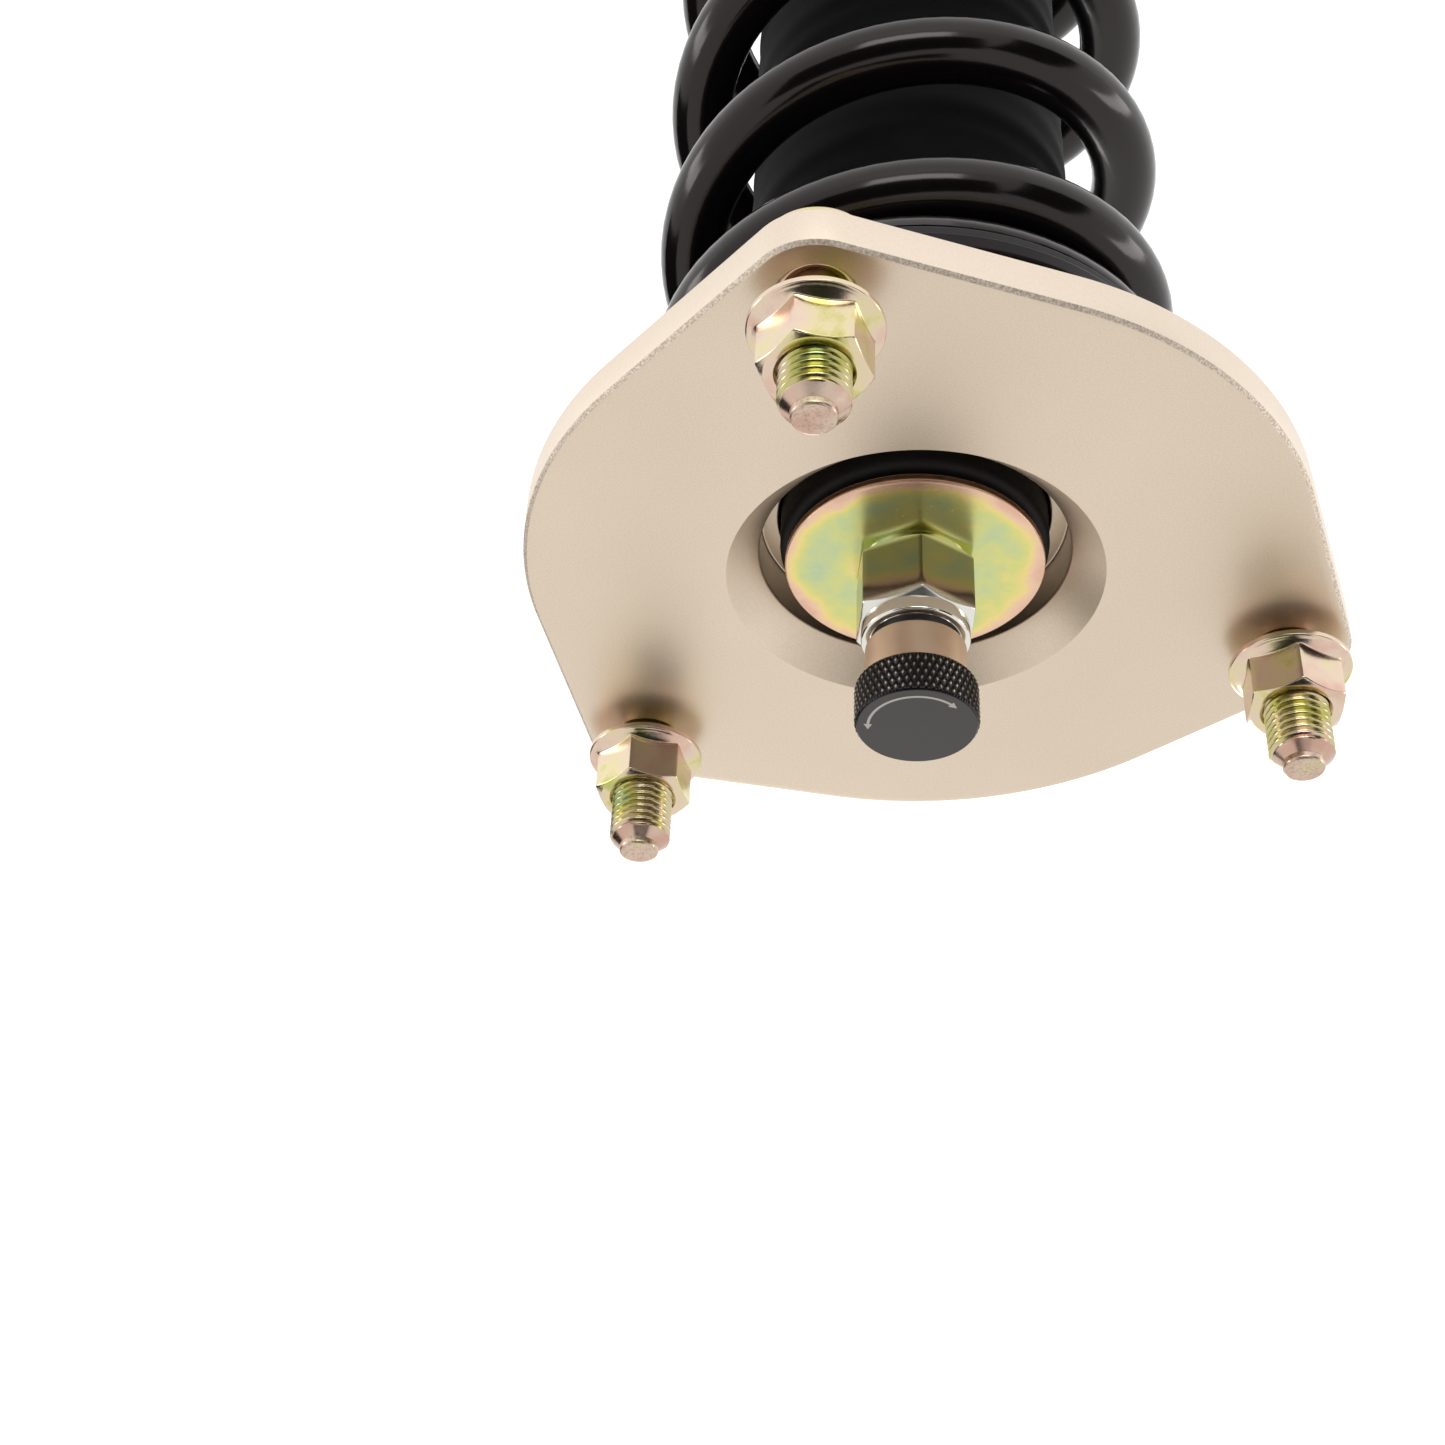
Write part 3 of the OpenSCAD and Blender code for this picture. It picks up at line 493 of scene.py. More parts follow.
bright_metal("bright_zinc", (0.80, 0.79, 0.74), 0.09, tint=(0.74, 0.77, 0.70))
bright_metal("hard_chrome", (0.80, 0.81, 0.82), 0.06)
bright_metal("spring_steel", (0.42, 0.42, 0.43), 0.28)
bright_metal("outer_shell_steel", (0.48, 0.48, 0.48), 0.32)
bright_metal("plain_aluminium", (0.72, 0.73, 0.74), 0.24, lathe=1.0)
bright_metal("brass", (0.72, 0.54, 0.24), 0.22, lathe=0.6)
bright_metal("bronze_anodised", (0.84, 0.66, 0.52), 0.36, lathe=0.5, tint=(0.74, 0.57, 0.44))

# %% [markdown]
# Black anodising is a dark dyed layer on bright metal: it keeps a metal's soft reflection and takes
# a brown or purple cast from the dye. The fine rings of the turning tool draw each reflection out.


# %% Dark anodising
def dark_anodised(name, colour, cast, rough):
    finish = Finish(name)
    rings = finish.noise(0.14, detail=1, stretch=TOOL_RINGS)
    speck = finish.noise(0.6, detail=3, rough=0.6)
    cloud = finish.noise(30, detail=2)
    colour = finish.mix(finish.between(cloud, 0.3, 0.7), colour, cast)
    rough = rough + 0.06 * speck
    finish.surface(colour, rough, rings * 0.6 + speck * 0.4, 0.006, 0.4, Metallic=0.85)


dark_anodised("black_anodised", (0.026, 0.019, 0.021), (0.032, 0.025, 0.029), 0.13)
dark_anodised("gunmetal_anodised", (0.15, 0.15, 0.16), (0.13, 0.13, 0.15), 0.26)
dark_anodised("black_anodised_seat", (0.010, 0.008, 0.009), (0.014, 0.011, 0.013), 0.30)


# %% Plain finishes: the knob's face and its print
def grainy(name, size_mm, dark, pale, detail=2, **sockets):
    """A finish that wanders between two shades. It gives back the finish and its grain."""
    finish = Finish(name)
    grain = finish.noise(size_mm, detail=detail)
    finish.set(Base_Color=finish.mix(grain, dark, pale), **sockets)
    return finish, grain


finish, grain = grainy("black_anodised_face", 0.12, (0.046, 0.043, 0.040), (0.060, 0.056, 0.052))
finish.set(Roughness=0.42 + 0.1 * grain, Normal=finish.bump(grain, 0.01, 0.3))
finish, grain = grainy("pale_print", 0.15, (0.60, 0.57, 0.51), (0.72, 0.69, 0.62))
finish.set(Roughness=0.55 + 0.1 * grain)

# %% [markdown]
# Powder coat is baked from dust: it flows out glossy, but keeps the low, rounded waves that
# painters call orange peel. Coarse noise makes the waves, and fine noise dulls the gloss a little.

# %% Powder coat
POWDER_BLACK, POWDER_PALER = (0.0040, 0.0030, 0.0032), 1.35

finish = Finish("black_powder_coat")
peel = finish.noise(1.8, detail=2, rough=0.45)
dust = finish.noise(0.35, detail=2)
finish.surface(
    finish.mix(peel, POWDER_BLACK, tuple(POWDER_PALER * c for c in POWDER_BLACK)),
    0.11 + 0.06 * dust, peel * 0.75 + dust * 0.25, 0.02, 0.35,
    Specular_IOR_Level=0.40, Specular_Tint=(1.0, 0.90, 0.88),
)


# %% Rubber, foam and plastic
def moulded(name, colour, rough, grain_mm=0.5, depth_mm=0.02, dusty=0.0, dust=(0.3, 0.29, 0.27),
            gloss=0.5):
    """A moulded skin: fine grain, and a bloom of dust where dusty is above 0."""
    finish = Finish(name)
    grain = finish.noise(grain_mm, detail=3, rough=0.6)
    cloud = finish.noise(12, detail=3)
    film = finish.between(cloud * 0.6 + grain * 0.4, 0.42, 0.78) * dusty
    colour = finish.mix(film, colour, dust)
    finish.surface(colour, rough + 0.12 * grain, grain, depth_mm, 0.5, Specular_IOR_Level=gloss)


moulded("black_rubber", (0.010, 0.009, 0.009), 0.55, dusty=0.03, gloss=0.25)
moulded("grey_rubber", (0.265, 0.265, 0.225), 0.46, 0.35, 0.012, 0.25, (0.36, 0.36, 0.31))
moulded("urethane_foam", (0.55, 0.42, 0.20), 0.75, 0.6, 0.08)
moulded("black_boot_rubber", (0.0032, 0.0028, 0.0030), 0.60, dusty=0.01, gloss=0.10)
moulded("black_plastic", (0.010, 0.009, 0.0095), 0.42, 0.6, 0.015, 0.02, gloss=0.3)
moulded("nylon", (0.05, 0.05, 0.055), 0.35, 0.8, 0.01)
moulded("bearing_polymer", (0.26, 0.14, 0.07), 0.50, 0.4, 0.01)

# %% [markdown]
# Every CAD node first gets the finish that has the name of its slot in the record. The pieces made
# below then stand for the nodes that can be seen, and the rest keep the shapes of the CAD.

# %% Finish the CAD nodes
slot_of = {part["node"]: part["material_slot"] for part in frame["record"]["subparts"]}
body_of = {n: body for body, nodes in frame["record"]["behaviour"]["bodies"].items() for n in nodes}
for name, node in frame["nodes"].items():
    node.data.materials.clear()
    node.data.materials.append(FINISHES[slot_of[name]])


def add(piece, node, finish=None):
    """The piece is part of what a CAD node stands for: it rides and is finished as that node is."""
    piece.data.materials.append(FINISHES[finish or slot_of[node]])
    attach(piece, body_of[node])


def stands_for(piece, node, finish=None):
    """The piece takes the place of a CAD node: its body, its slot and its finish."""
    add(piece, node, finish)
    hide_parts(node)


def plain_ring(name, node, inner, radius=0.5, columns=160, finish=None):
    """A ring as large as its node, open from the radius inner inwards."""
    low, high, reach = levels(node)
    stands_for(turned(name, section(inner, reach, low, high), radius, columns), node, finish)


# %% [markdown]
# ## Mount plate
# Seen from above, the plate is a disc with three lobes, joined by straight lines that touch both
# circles. That is the convex hull of four circles. One profile carried round its edge makes the
# whole plate, recess and bush housing included.

# %% Sizes of the plate
STUDS, FIRST_STUD_DEG, STUD_CIRCLE = 3, 90, 61.0
plate_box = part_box("mount_plate")
lobe_reach, body_reach = plate_box[1].y / MM, -plate_box[0].y / MM
LOBE_R = lobe_reach - STUD_CIRCLE
stud_angles = np.radians(FIRST_STUD_DEG + 360 / STUDS * np.arange(STUDS))
stud_places = [(STUD_CIRCLE * math.cos(a), STUD_CIRCLE * math.sin(a)) for a in stud_angles]
PLATE_T = 7.0
plate_under = plate_top - PLATE_T
RECESS_MOUTH_R, RECESS_R, RECESS_DEPTH, MOUTH_DEPTH = 29.0, 24.0, 12.0, 5
HOUSING_R, CHAMBER_R, LEDGE_R, LEDGE_T = 32.0, 27.0, 21.2, 3


def plate_edge(angle, inset):
    """Distance from the axis to the plate's outline, moved in by inset. Between two lobes it is
    round. From the tangent point on it is the line, and past that the lobe's own circle."""
    big, small = body_reach - inset, LOBE_R - inset
    step = 2 * np.pi / STUDS
    off = np.abs((angle - stud_angles[0] + step / 2) % step - step / 2)
    tilt = math.acos((big - small) / STUD_CIRCLE)
    line = big / np.cos(off - tilt)
    lobe_corner = math.atan2(small * math.sin(tilt), STUD_CIRCLE + small * math.cos(tilt))
    half_chord = np.sqrt(np.maximum(0, small**2 - (STUD_CIRCLE * np.sin(off)) ** 2))
    lobe = STUD_CIRCLE * np.cos(off) + half_chord
    return np.where(off > tilt, big, np.where(off > lobe_corner, line, lobe))


# %% Make the plate
def mount_plate():
    """The rows run up the recess, out over the top, down the rim and back in under the housing."""
    angle = full_turn(720)
    floor = plate_top - RECESS_DEPTH
    recess = [
        (CHAMBER_R, plate_low), (CHAMBER_R, floor - LEDGE_T), (LEDGE_R, floor - LEDGE_T),
        (LEDGE_R, floor), (RECESS_R, floor), (RECESS_R, plate_top - MOUTH_DEPTH),
        (RECESS_MOUTH_R, plate_top),
    ]
    housing = [
        (HOUSING_R + 1, plate_under), (HOUSING_R, plate_under), (HOUSING_R, plate_low),
        (CHAMBER_R, plate_low),
    ]
    chamfer, soft, tight = PLATE_CHAMFER, 0.18, 0.03
    rim = [
        (chamfer + 1.2, 0), (chamfer + soft, 0), (chamfer, tight), (chamfer - soft, soft),
        (soft, chamfer - soft), (tight, chamfer), (0, chamfer + soft),
    ]
    rows = [*rounded(recess, 0.3, closed=False)[2:-2]]
    rows += [(RECESS_MOUTH_R, plate_top), (RECESS_MOUTH_R + 0.5, plate_top)]
    rows += [(plate_edge(angle, inset), plate_top - drop) for inset, drop in rim]
    rows += [(plate_edge(angle, inset), plate_under + rise) for inset, rise in rim[::-1]]
    rows += [*rounded(housing, 0.5, closed=False)[1:-2]]
    radius = np.concatenate([np.broadcast_to(r, angle.shape) for r, _ in rows])
    level = np.array([z for _, z in rows])[:, None]
    return settle(skin("plate", about("z", radius, level, angle)))


def bored(piece, cutters):
    """The piece with the cutters' solids taken out of it."""
    for cutter in cutters:
        hole = piece.modifiers.new("hole", "BOOLEAN")
        hole.operation, hole.object, hole.solver = "DIFFERENCE", cutter, "EXACT"
    depsgraph = bpy.context.evaluated_depsgraph_get()
    mesh = bpy.data.meshes.new_from_object(piece.evaluated_get(depsgraph))
    piece.modifiers.clear()
    piece.data = mesh
    for cutter in cutters:
        bpy.data.objects.remove(cutter)
    return piece


STUD_SHOULDER_R, STUD_MOUTH, STUD_SINK = 5.4, 0.5, 1.6
mouth_r = STUD_SHOULDER_R + STUD_MOUTH
hole_outline = [
    (0, plate_under - 1), (STUD_SHOULDER_R, plate_under - 1),
    (STUD_SHOULDER_R, plate_top - STUD_MOUTH), (mouth_r, plate_top), (mouth_r + 0.3, plate_top + 1),
    (0, plate_top + 1),
]
plate = mount_plate()
holes = [turned(f"hole{i}", hole_outline, 0.12, 48, centre=c) for i, c in enumerate(stud_places)]
plate = settle(bored(plate, holes), 25)
stands_for(plate, "mount_plate")

# %% [markdown]
# ## Studs
# A thread is a groove that climbs by one pitch a turn. On a grid whose rows climb with the angle
# the radius depends on the row alone, so every crest and root is a clean line. The rows are cut off
# square by clipping their level, and a cone limits the radius at the tip.

# %% Threaded shank
CREST_SHARE, FLANK_SHARE = 0.16, 0.68


def hoop(a, b):
    """The quads between two closed rings of point numbers."""
    return np.stack([a, np.roll(a, -1), np.roll(b, -1), b], -1)


def threaded(name, crest, depth, pitch, low, high, limit, columns=72, rows_per_turn=10, bore=0.0,
             centre=(0, 0)):
    """A threaded rod or tube from low to high. limit(level) is the greatest radius at a level. The
    last column meets the first one a turn's rows further on. Within a pitch there are a root, a
    flank, a narrow crest and a flank."""
    turns = math.ceil((high - low) / pitch) + 2
    row = np.arange(turns * rows_per_turn + 1)
    rows, angle = len(row), full_turn(columns)
    climb = (row / rows_per_turn - 1)[:, None] + angle / (2 * np.pi)
    level = np.clip(low + pitch * climb, low, high)
    off_crest = np.abs((row % rows_per_turn / rows_per_turn - 0.5) * 2)[:, None]
    groove = np.clip((off_crest - CREST_SHARE) / FLANK_SHARE, 0, 1)
    radius = np.minimum(crest - depth * groove, limit(level))
    side = about("z", radius, level, angle, centre)
    ends = about("z", np.full((2, 1), bore), [[low], [high]], angle, centre)
    points = np.concatenate([side.reshape(-1, 3), ends.reshape(-1, 3)])
    index = np.arange(rows * columns).reshape(rows, columns)
    low_rim, high_rim = index[0], index[-1]
    low_bore, high_bore = rows * columns + np.arange(2 * columns).reshape(2, columns)
    last = np.concatenate([index[rows_per_turn:, :1], index[-1:, :1].repeat(rows_per_turn, axis=0)])
    quads = [grid_quads(np.concatenate([index, last], axis=1))]
    quads += [hoop(low_rim, low_bore)[:, ::-1], hoop(high_rim, high_bore)]
    if bore:
        quads.append(hoop(low_bore, high_bore))
    return settle(shell(name, points, np.concatenate(quads)), 30)


# %% Studs
STUD_R, STUD_PITCH, STUD_THREAD = 5.0, 1.25, 0.70
STUD_HEAD_R, STUD_PLAIN = 7.8, 2.2
TIP_R, TIP_H, CONE_H = 3.2, 1.2, 1.6
ROOT_R = STUD_R - 0.6
stud_head_low, stud_tip, _ = levels("mount_studs")
shank_low, shank_high = plate_top + STUD_PLAIN, stud_tip - TIP_H
yellow_zinc(
    "yellow_zinc_thread", spread=0.9, shift=-0.04, shine=0.80, rough=0.15,
    pink_above=shank_high - CONE_H,
)


def stud_limit(level):
    """The tip's cone, and the lead on which the thread starts."""
    cone = TIP_R + (shank_high - level) / CONE_H * (STUD_R - TIP_R) * 0.95
    lead = STUD_R - 0.9 + (level - shank_low) * 1.2
    return np.minimum(cone, np.maximum(lead, 0))


stud_outline = [
    (0, stud_head_low), (STUD_HEAD_R, stud_head_low), (STUD_HEAD_R, plate_under),
    (STUD_SHOULDER_R, plate_under), (STUD_SHOULDER_R, plate_top - STUD_SINK),
    (ROOT_R, plate_top - STUD_SINK + 0.2), (ROOT_R, shank_low + 0.6), (0, shank_low + 0.9),
]
tip_low = shank_high - 1
tip_outline = [(0, tip_low), (TIP_R, tip_low), (TIP_R - 0.05, stud_tip), (0, stud_tip)]
for i, centre in enumerate(stud_places):
    put = add if i else stands_for
    shank = threaded(
        f"stud_{i + 1}_thread", STUD_R - 0.02, STUD_THREAD, STUD_PITCH, shank_low, shank_high,
        stud_limit, centre=centre,
    )
    head = turned(f"stud_{i + 1}_head", stud_outline, 0.5, 72, centre=centre)
    tip = turned(f"stud_{i + 1}_tip", tip_outline, 0.5, 48, centre=centre)
    put(shank, "mount_studs", "yellow_zinc_thread")
    add(head, "mount_studs", "yellow_zinc_nut")
    add(tip, "mount_studs", "yellow_zinc_cropped_end")

# %% [markdown]
# ## Nuts
# A nut's side is the nearer of two surfaces, the hexagon's flats and the cone that a lathe turns on
# its corners. Where they cross, they leave the curved line of every real nut. A soft minimum of the
# two radii rounds that line, and a soft maximum adds the flange.

# %% Hexagon radii
CONE_SLOPE = math.tan(math.radians(60))
FLAT_FACING_DEG = 30


def soft_least(a, b, blend):
    """The lesser of two arrays, rounded where they meet: -k log(exp(-a/k) + exp(-b/k))."""
    low = np.minimum(a, b)
    return low - blend * np.log1p(np.exp(-np.abs(a - b) / blend))


def hexagon(angle, across_flats, corner=80):
    """Distance to a hexagon's edge. A high mean of the six flats' pulls rounds its corners."""
    flats = np.arange(6)[:, None] * np.pi / 3
    pull = np.maximum(np.cos(angle - flats), 1e-9)
    return across_flats / 2 / (pull**corner).sum(axis=0) ** (1 / corner)


def walled(name, below, level, wall, above, angle, sharp_deg, centre=(0, 0)):
    """A closed skin with the radius wall[levels, angles]. Rings of (radius, level) lead from the
    inside out below it, and back in above it."""
    below, above, even = np.array(below), np.array(above), np.ones(angle.shape)
    radius = np.concatenate([below[:, :1] * even, wall, above[:, :1] * even])
    level = np.concatenate([below[:, 1], level, above[:, 1]])[:, None]
    return settle(skin(name, about("z", radius, level, angle, centre)), sharp_deg)


def hex_nut(name, across_flats, level, cone, flange, below, above, turn_deg, centre=(0, 0),
            columns=144):
    """A closed nut. cone and flange are the lathe's limits of the radius at each level."""
    angle = full_turn(columns)
    wall = soft_least(cone[:, None], hexagon(angle, across_flats), 0.06)
    wall = -soft_least(-wall, -flange[:, None], 0.12)
    return walled(name, below, level, wall, above, angle + np.radians(turn_deg), 35, centre)


# %% Flange nuts
NUT_AF, NUT_FLANGE_R, NUT_H = 14.0, 9.4, 9.0
NUT_GAPS = (5.8, 3.2, 3.1)
NUT_TURNS = (6, 59, 46)
NUT_RIM, NUT_SLOPE, NUT_BORE_R = 1.1, 2.1, 4.55


def flange_nut(name, low, turn_deg, centre):
    """A thin round rim, a shallow cone above it, and the hexagon with a turned top."""
    z = np.unique(np.concatenate([
        [0, 0.05, 0.25, 0.5], np.linspace(NUT_RIM - 0.25, 3.6, 40),
        np.linspace(3.6, NUT_H - 0.35, 40), np.linspace(NUT_H - 0.35, NUT_H, 14),
    ]))
    top_cone = NUT_AF / 2 - 0.15 + (NUT_H - z) * CONE_SLOPE
    rim = np.where(z < 0.25, NUT_FLANGE_R - 0.25 + z, NUT_FLANGE_R)
    over_rim = np.maximum(z - NUT_RIM + 0.12, 0)
    rim = rim - np.minimum(over_rim**2 * 6, over_rim * NUT_SLOPE)
    top = low + NUT_H
    below = [(NUT_BORE_R, low + 0.8), (5.3, low), (5.6, low)]
    above = [(5.8, top), (5.5, top), (5.35, top - 0.25), (NUT_BORE_R, top - 1.1)]
    return hex_nut(
        name, NUT_AF, low + z, top_cone, np.maximum(rim, 0.5), below, above, turn_deg, centre
    )


for i, (centre, gap) in enumerate(zip(stud_places, NUT_GAPS)):
    put = add if i else stands_for
    facing = FIRST_STUD_DEG + 360 / STUDS * i + NUT_TURNS[i] + FLAT_FACING_DEG
    nut = flange_nut(f"flange_nut_{i + 1}", plate_top + gap, facing, centre)
    put(nut, "stud_nuts", "yellow_zinc_nut")

# %% Rod nut
rod_nut_low, rod_nut_top, _ = levels("rod_nut")
ROD_NUT_AF, NUT_COLLAR_H, ROD_NUT_TURN = 17.0, 2.5, 11
ROD_NUT_BORE_R = 5.7
hex_top = rod_nut_top - NUT_COLLAR_H


def rod_nut():
    """A tall hexagon turned at both ends, with a round collar that grips the nylon ring."""
    z = np.unique(np.concatenate([
        np.linspace(rod_nut_low, rod_nut_low + 2.4, 26),
        np.linspace(rod_nut_low + 2.4, hex_top - 2.6, 8), np.linspace(hex_top - 2.6, hex_top, 30),
    ]))
    cone_r, collar_r = ROD_NUT_AF / 2 - 0.2, ROD_NUT_AF / 2 - 0.25
    cone = np.minimum(
        cone_r + (hex_top - z) * CONE_SLOPE, cone_r + (z - rod_nut_low - 0.45) * CONE_SLOPE
    )
    collar = [
        (collar_r, hex_top), (collar_r, rod_nut_top), (6.9, rod_nut_top), (6.4, rod_nut_top - 0.8),
        (ROD_NUT_BORE_R, rod_nut_top - 0.8), (ROD_NUT_BORE_R, hex_top),
    ]
    above = [*rounded(collar, 1.0, 6, closed=False)[1:-1], (ROD_NUT_BORE_R, hex_top - 3)]
    below = [(ROD_NUT_BORE_R, rod_nut_low + 0.1), (6.2, rod_nut_low)]
    return hex_nut(
        "rod_nut_body", ROD_NUT_AF, z, np.maximum(cone, collar_r), np.ones(len(z)), below, above,
        ROD_NUT_TURN + FLAT_FACING_DEG, columns=180,
    )


# %% [markdown]
# The rod nut is bright zinc. Its flats are painted dark and olive: painted shade, with the washer's
# painted reflection.

# %% Rod nut's finish
finish = Finish("bright_zinc_nut")
marks = finish.noise(1.3, detail=4, rough=0.65)
level = finish.level()
# Where the nut is painted dark olive on its flats: painted shade and the washer's painted
# reflection.
flats = finish.between(level, rod_nut_low + 0.9, rod_nut_low + 1.9)
chamfer = finish.between(level, hex_top - 1.7, hex_top - 0.7)
flats = flats * (1 - chamfer)
chamfer = chamfer * (1 - finish.between(level, hex_top, hex_top + 0.2))
colour = finish.mix(flats, (0.78, 0.77, 0.71), (0.27, 0.24, 0.19))
rough = 0.09 + 0.07 * marks + 0.16 * chamfer
finish.surface(colour, rough, marks * 0.4, 0.01, 0.4, Metallic=1.0)
stands_for(rod_nut(), "rod_nut", "bright_zinc_nut")

# %% Washer over the bush
ROD_HOLE_R = 6.1
plain_ring("rod_washer_disc", "rod_washer", ROD_HOLE_R, 0.45, finish="yellow_zinc_washer")

# %% [markdown]
# ## Knob
# A diamond knurl is two families of grooves, one climbing to the right and one to the left. The
# deeper of the two sets the radius, which leaves a small pyramid between each four grooves. The
# crests are painted paler: a painted highlight along each ridge.

# %% Knurled rim
knob_low, knob_top, knob_r = levels("knob")
KNURL_COUNT, KNURL_LENGTH, KNURL_DEPTH, KNURL_EDGE = 52, 2.4, 0.30, 0.45
PIN_R, NEAT_IN = 2.2, 0.42

finish = Finish("black_anodised_knurl")
speck = finish.noise(0.3, detail=3, rough=0.6)
# The crests' paler colour is a painted highlight.
crest = finish.between(finish.from_axis(), knob_r - 0.16, knob_r - 0.01)
colour = finish.mix(crest, (0.020, 0.018, 0.019), (0.30, 0.27, 0.25))
finish.surface(colour, 0.24 + 0.08 * speck, speck, 0.006, 0.4, Metallic=0.85)


def knurled_rim():
    """Radius = outer radius - depth x the nearer groove of the two families."""
    angle = full_turn(KNURL_COUNT * 8)
    z = np.linspace(knob_low + KNURL_EDGE, knob_top - KNURL_EDGE, 57)
    around = KNURL_COUNT * angle / (2 * np.pi)
    along = (z[:, None] - knob_low) / KNURL_LENGTH
    to_groove = [np.abs((around + side * along + 0.5) % 1 - 0.5) * 2 for side in (1, -1)]
    cut = 1 - np.minimum(*to_groove)
    wall = knob_r - KNURL_DEPTH * np.clip(cut * 1.25 - 0.12, 0, 1)
    neat = knob_r - NEAT_IN
    below = [(PIN_R, knob_low), (neat - 0.2, knob_low), (neat, knob_low + 0.12)]
    above = [
        (neat, knob_top - 0.12), (neat - 0.12, knob_top - 0.02), (neat - 0.4, knob_top),
        (0, knob_top), (0, knob_low),
    ]
    return walled("knob_rim", below, z, wall, above, angle, 50)


stands_for(knurled_rim(), "knob", "black_anodised_knurl")

# %% Knob face and its printed arrow
FACE_LIFT, FACE_T, PRINT_T = 0.03, 0.3, 0.02
face_outline = section(0, knob_r - 0.50, knob_top - FACE_T, knob_top)
face = turned("knob_face", face_outline, 0.05, 96)
face.data.transform(Matrix.Translation((0, 0, FACE_LIFT * MM)))
add(face, "knob", "black_anodised_face")

PRINT_R, PRINT_W = 7.2, 0.42
ARC_FROM_DEG, ARC_TO_DEG = 25, 172
HEAD_LEN_DEG, HEAD_W, HEAD_TIP_W = 10, 1.25, 0.02


def print_arrow():
    """A thin raised band along an arc, with a head at each end. Its half-width grows from nothing
    at the tip, then drops to the shaft's."""
    span = ARC_TO_DEG - ARC_FROM_DEG
    head = np.array([0, HEAD_LEN_DEG, HEAD_LEN_DEG + 0.01])
    shaft = np.linspace(HEAD_LEN_DEG + 3, span - HEAD_LEN_DEG - 3, 40)
    along = np.concatenate([head, shaft, span - head[::-1]])
    widths = [HEAD_TIP_W, HEAD_W, PRINT_W]
    half = np.interp(along, [*head, *(span - head[::-1])], np.array(widths + widths[::-1]) / 2)
    radii = np.stack([PRINT_R - half, PRINT_R + half])
    level = knob_top + FACE_LIFT + PRINT_T
    upper = about("z", radii, level, np.radians(ARC_FROM_DEG + along))
    lower = upper - np.array([0, 0, PRINT_T])
    loop = np.stack([*upper, *lower[::-1]])
    ends = loop.mean(axis=0, keepdims=True)
    grid = np.concatenate([ends[:, :1].repeat(4, 0), loop, ends[:, -1:].repeat(4, 0)], axis=1)
    return settle(skin("knob_arrow", grid.transpose(1, 0, 2), close_rows=False))


add(print_arrow(), "knob", "pale_print")

# %% Collar under the knob
plain_ring("knob_collar_ring", "knob_collar", PIN_R, 0.35, 96)

# %% [markdown]
# ## Bush
# The rubber boss is moulded with soft edges and stands a little under the washer. It is shown as it
# lies in its recess.

# %% Rubber bush
bush_low, bush_top, _ = levels("top_bush_rubber")
BOSS_R, BUSH_FLANGE_R, BUSH_BORE_R, BUSH_FLANGE_T = 20.8, 26.9, 9.1, 6.4
bush_outline = [
    (BUSH_BORE_R, bush_low), (BUSH_FLANGE_R, bush_low), (BUSH_FLANGE_R, bush_low + BUSH_FLANGE_T),
    (BOSS_R, bush_low + BUSH_FLANGE_T), (BOSS_R, bush_top), (BUSH_BORE_R, bush_top),
]
stands_for(turned("bush_boss", bush_outline, 1.6), "top_bush_rubber")

# %% Upper seat and the spring's two rings
seat_low, seat_high, seat_r = levels("upper_spring_seat")
SEAT_T, SEAT_LIP_H, SKIRT_R, LIP_R, SEAT_NECK_R = 2.8, 10, 27.5, 31.4, 14.0
seat_face = seat_low + SEAT_LIP_H
seat_outline = [
    (ROD_HOLE_R, seat_face), (SKIRT_R, seat_face), (SKIRT_R, seat_low), (LIP_R, seat_low),
    (LIP_R, seat_face), (seat_r, seat_face), (seat_r, seat_face + SEAT_T),
    (SEAT_NECK_R, seat_face + SEAT_T), (SEAT_NECK_R, seat_high), (ROD_HOLE_R, seat_high),
]
seat = turned("upper_seat_disc", seat_outline, 0.4, 160)
stands_for(seat, "upper_spring_seat", "black_anodised_seat")
plain_ring("upper_isolator_ring", "spring_top_isolator", LIP_R + 0.3)
plain_ring("lower_isolator_ring", "lower_isolator", LIP_R + 0.3)

# %% [markdown]
# ## Spring
# The wire's centre falls with the turns at a pitch that grows from closed, at each ground end, to
# full. A circle carried along it makes the coil, and the ends are ground flat where it would pass
# the seats.

# %% Coil
spring_low, spring_high, _ = levels("spring")
WIRE_D, COIL_R, COIL_PITCH, RAMP, TIP_DEG = 11.0, 37.5, 38.0, 1.6, 100.0
COIL_STEPS, WIRE_SIDES = 72, 30


def fall(turns):
    """How far the wire falls: pitch x s^2 / 2 ramp over the ramp's turns, then straight on."""
    closing = COIL_PITCH * turns * turns / (2 * RAMP)
    return np.where(turns < RAMP, closing, COIL_PITCH * (turns - RAMP / 2))


def coil():
    rise = spring_high - spring_low
    turns = rise / COIL_PITCH + RAMP
    t = np.linspace(0, turns, int(turns * COIL_STEPS) + 1)[:, None]
    dropped = np.where(t < turns / 2, fall(t), rise - fall(turns - t))
    side = np.linspace(0, 2 * np.pi, WIRE_SIDES, endpoint=False)[None, :]
    angle = np.radians(TIP_DEG) - 2 * np.pi * t
    radius = COIL_R + WIRE_D / 2 * np.cos(side)
    level = spring_high - dropped + WIRE_D / 2 * np.sin(side)
    points = about("z", radius, np.clip(level, spring_low, spring_high), angle)
    middle = points.mean(axis=1, keepdims=True).repeat(WIRE_SIDES, axis=1)
    points = np.concatenate([middle[:1], points, middle[-1:]])
    return settle(skin("coil_spring", points, close_rows=False), 50)


spring = coil()
stands_for(spring, "spring")
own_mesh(spring)

# %% Dust boot
boot_low, boot_high, boot_r = levels("dust_boot")
BOOT_WALL, BOOT_RIBS, BOOT_RIPPLE, BOOT_BORE_R = 1.4, 14, 0.35, 7.3


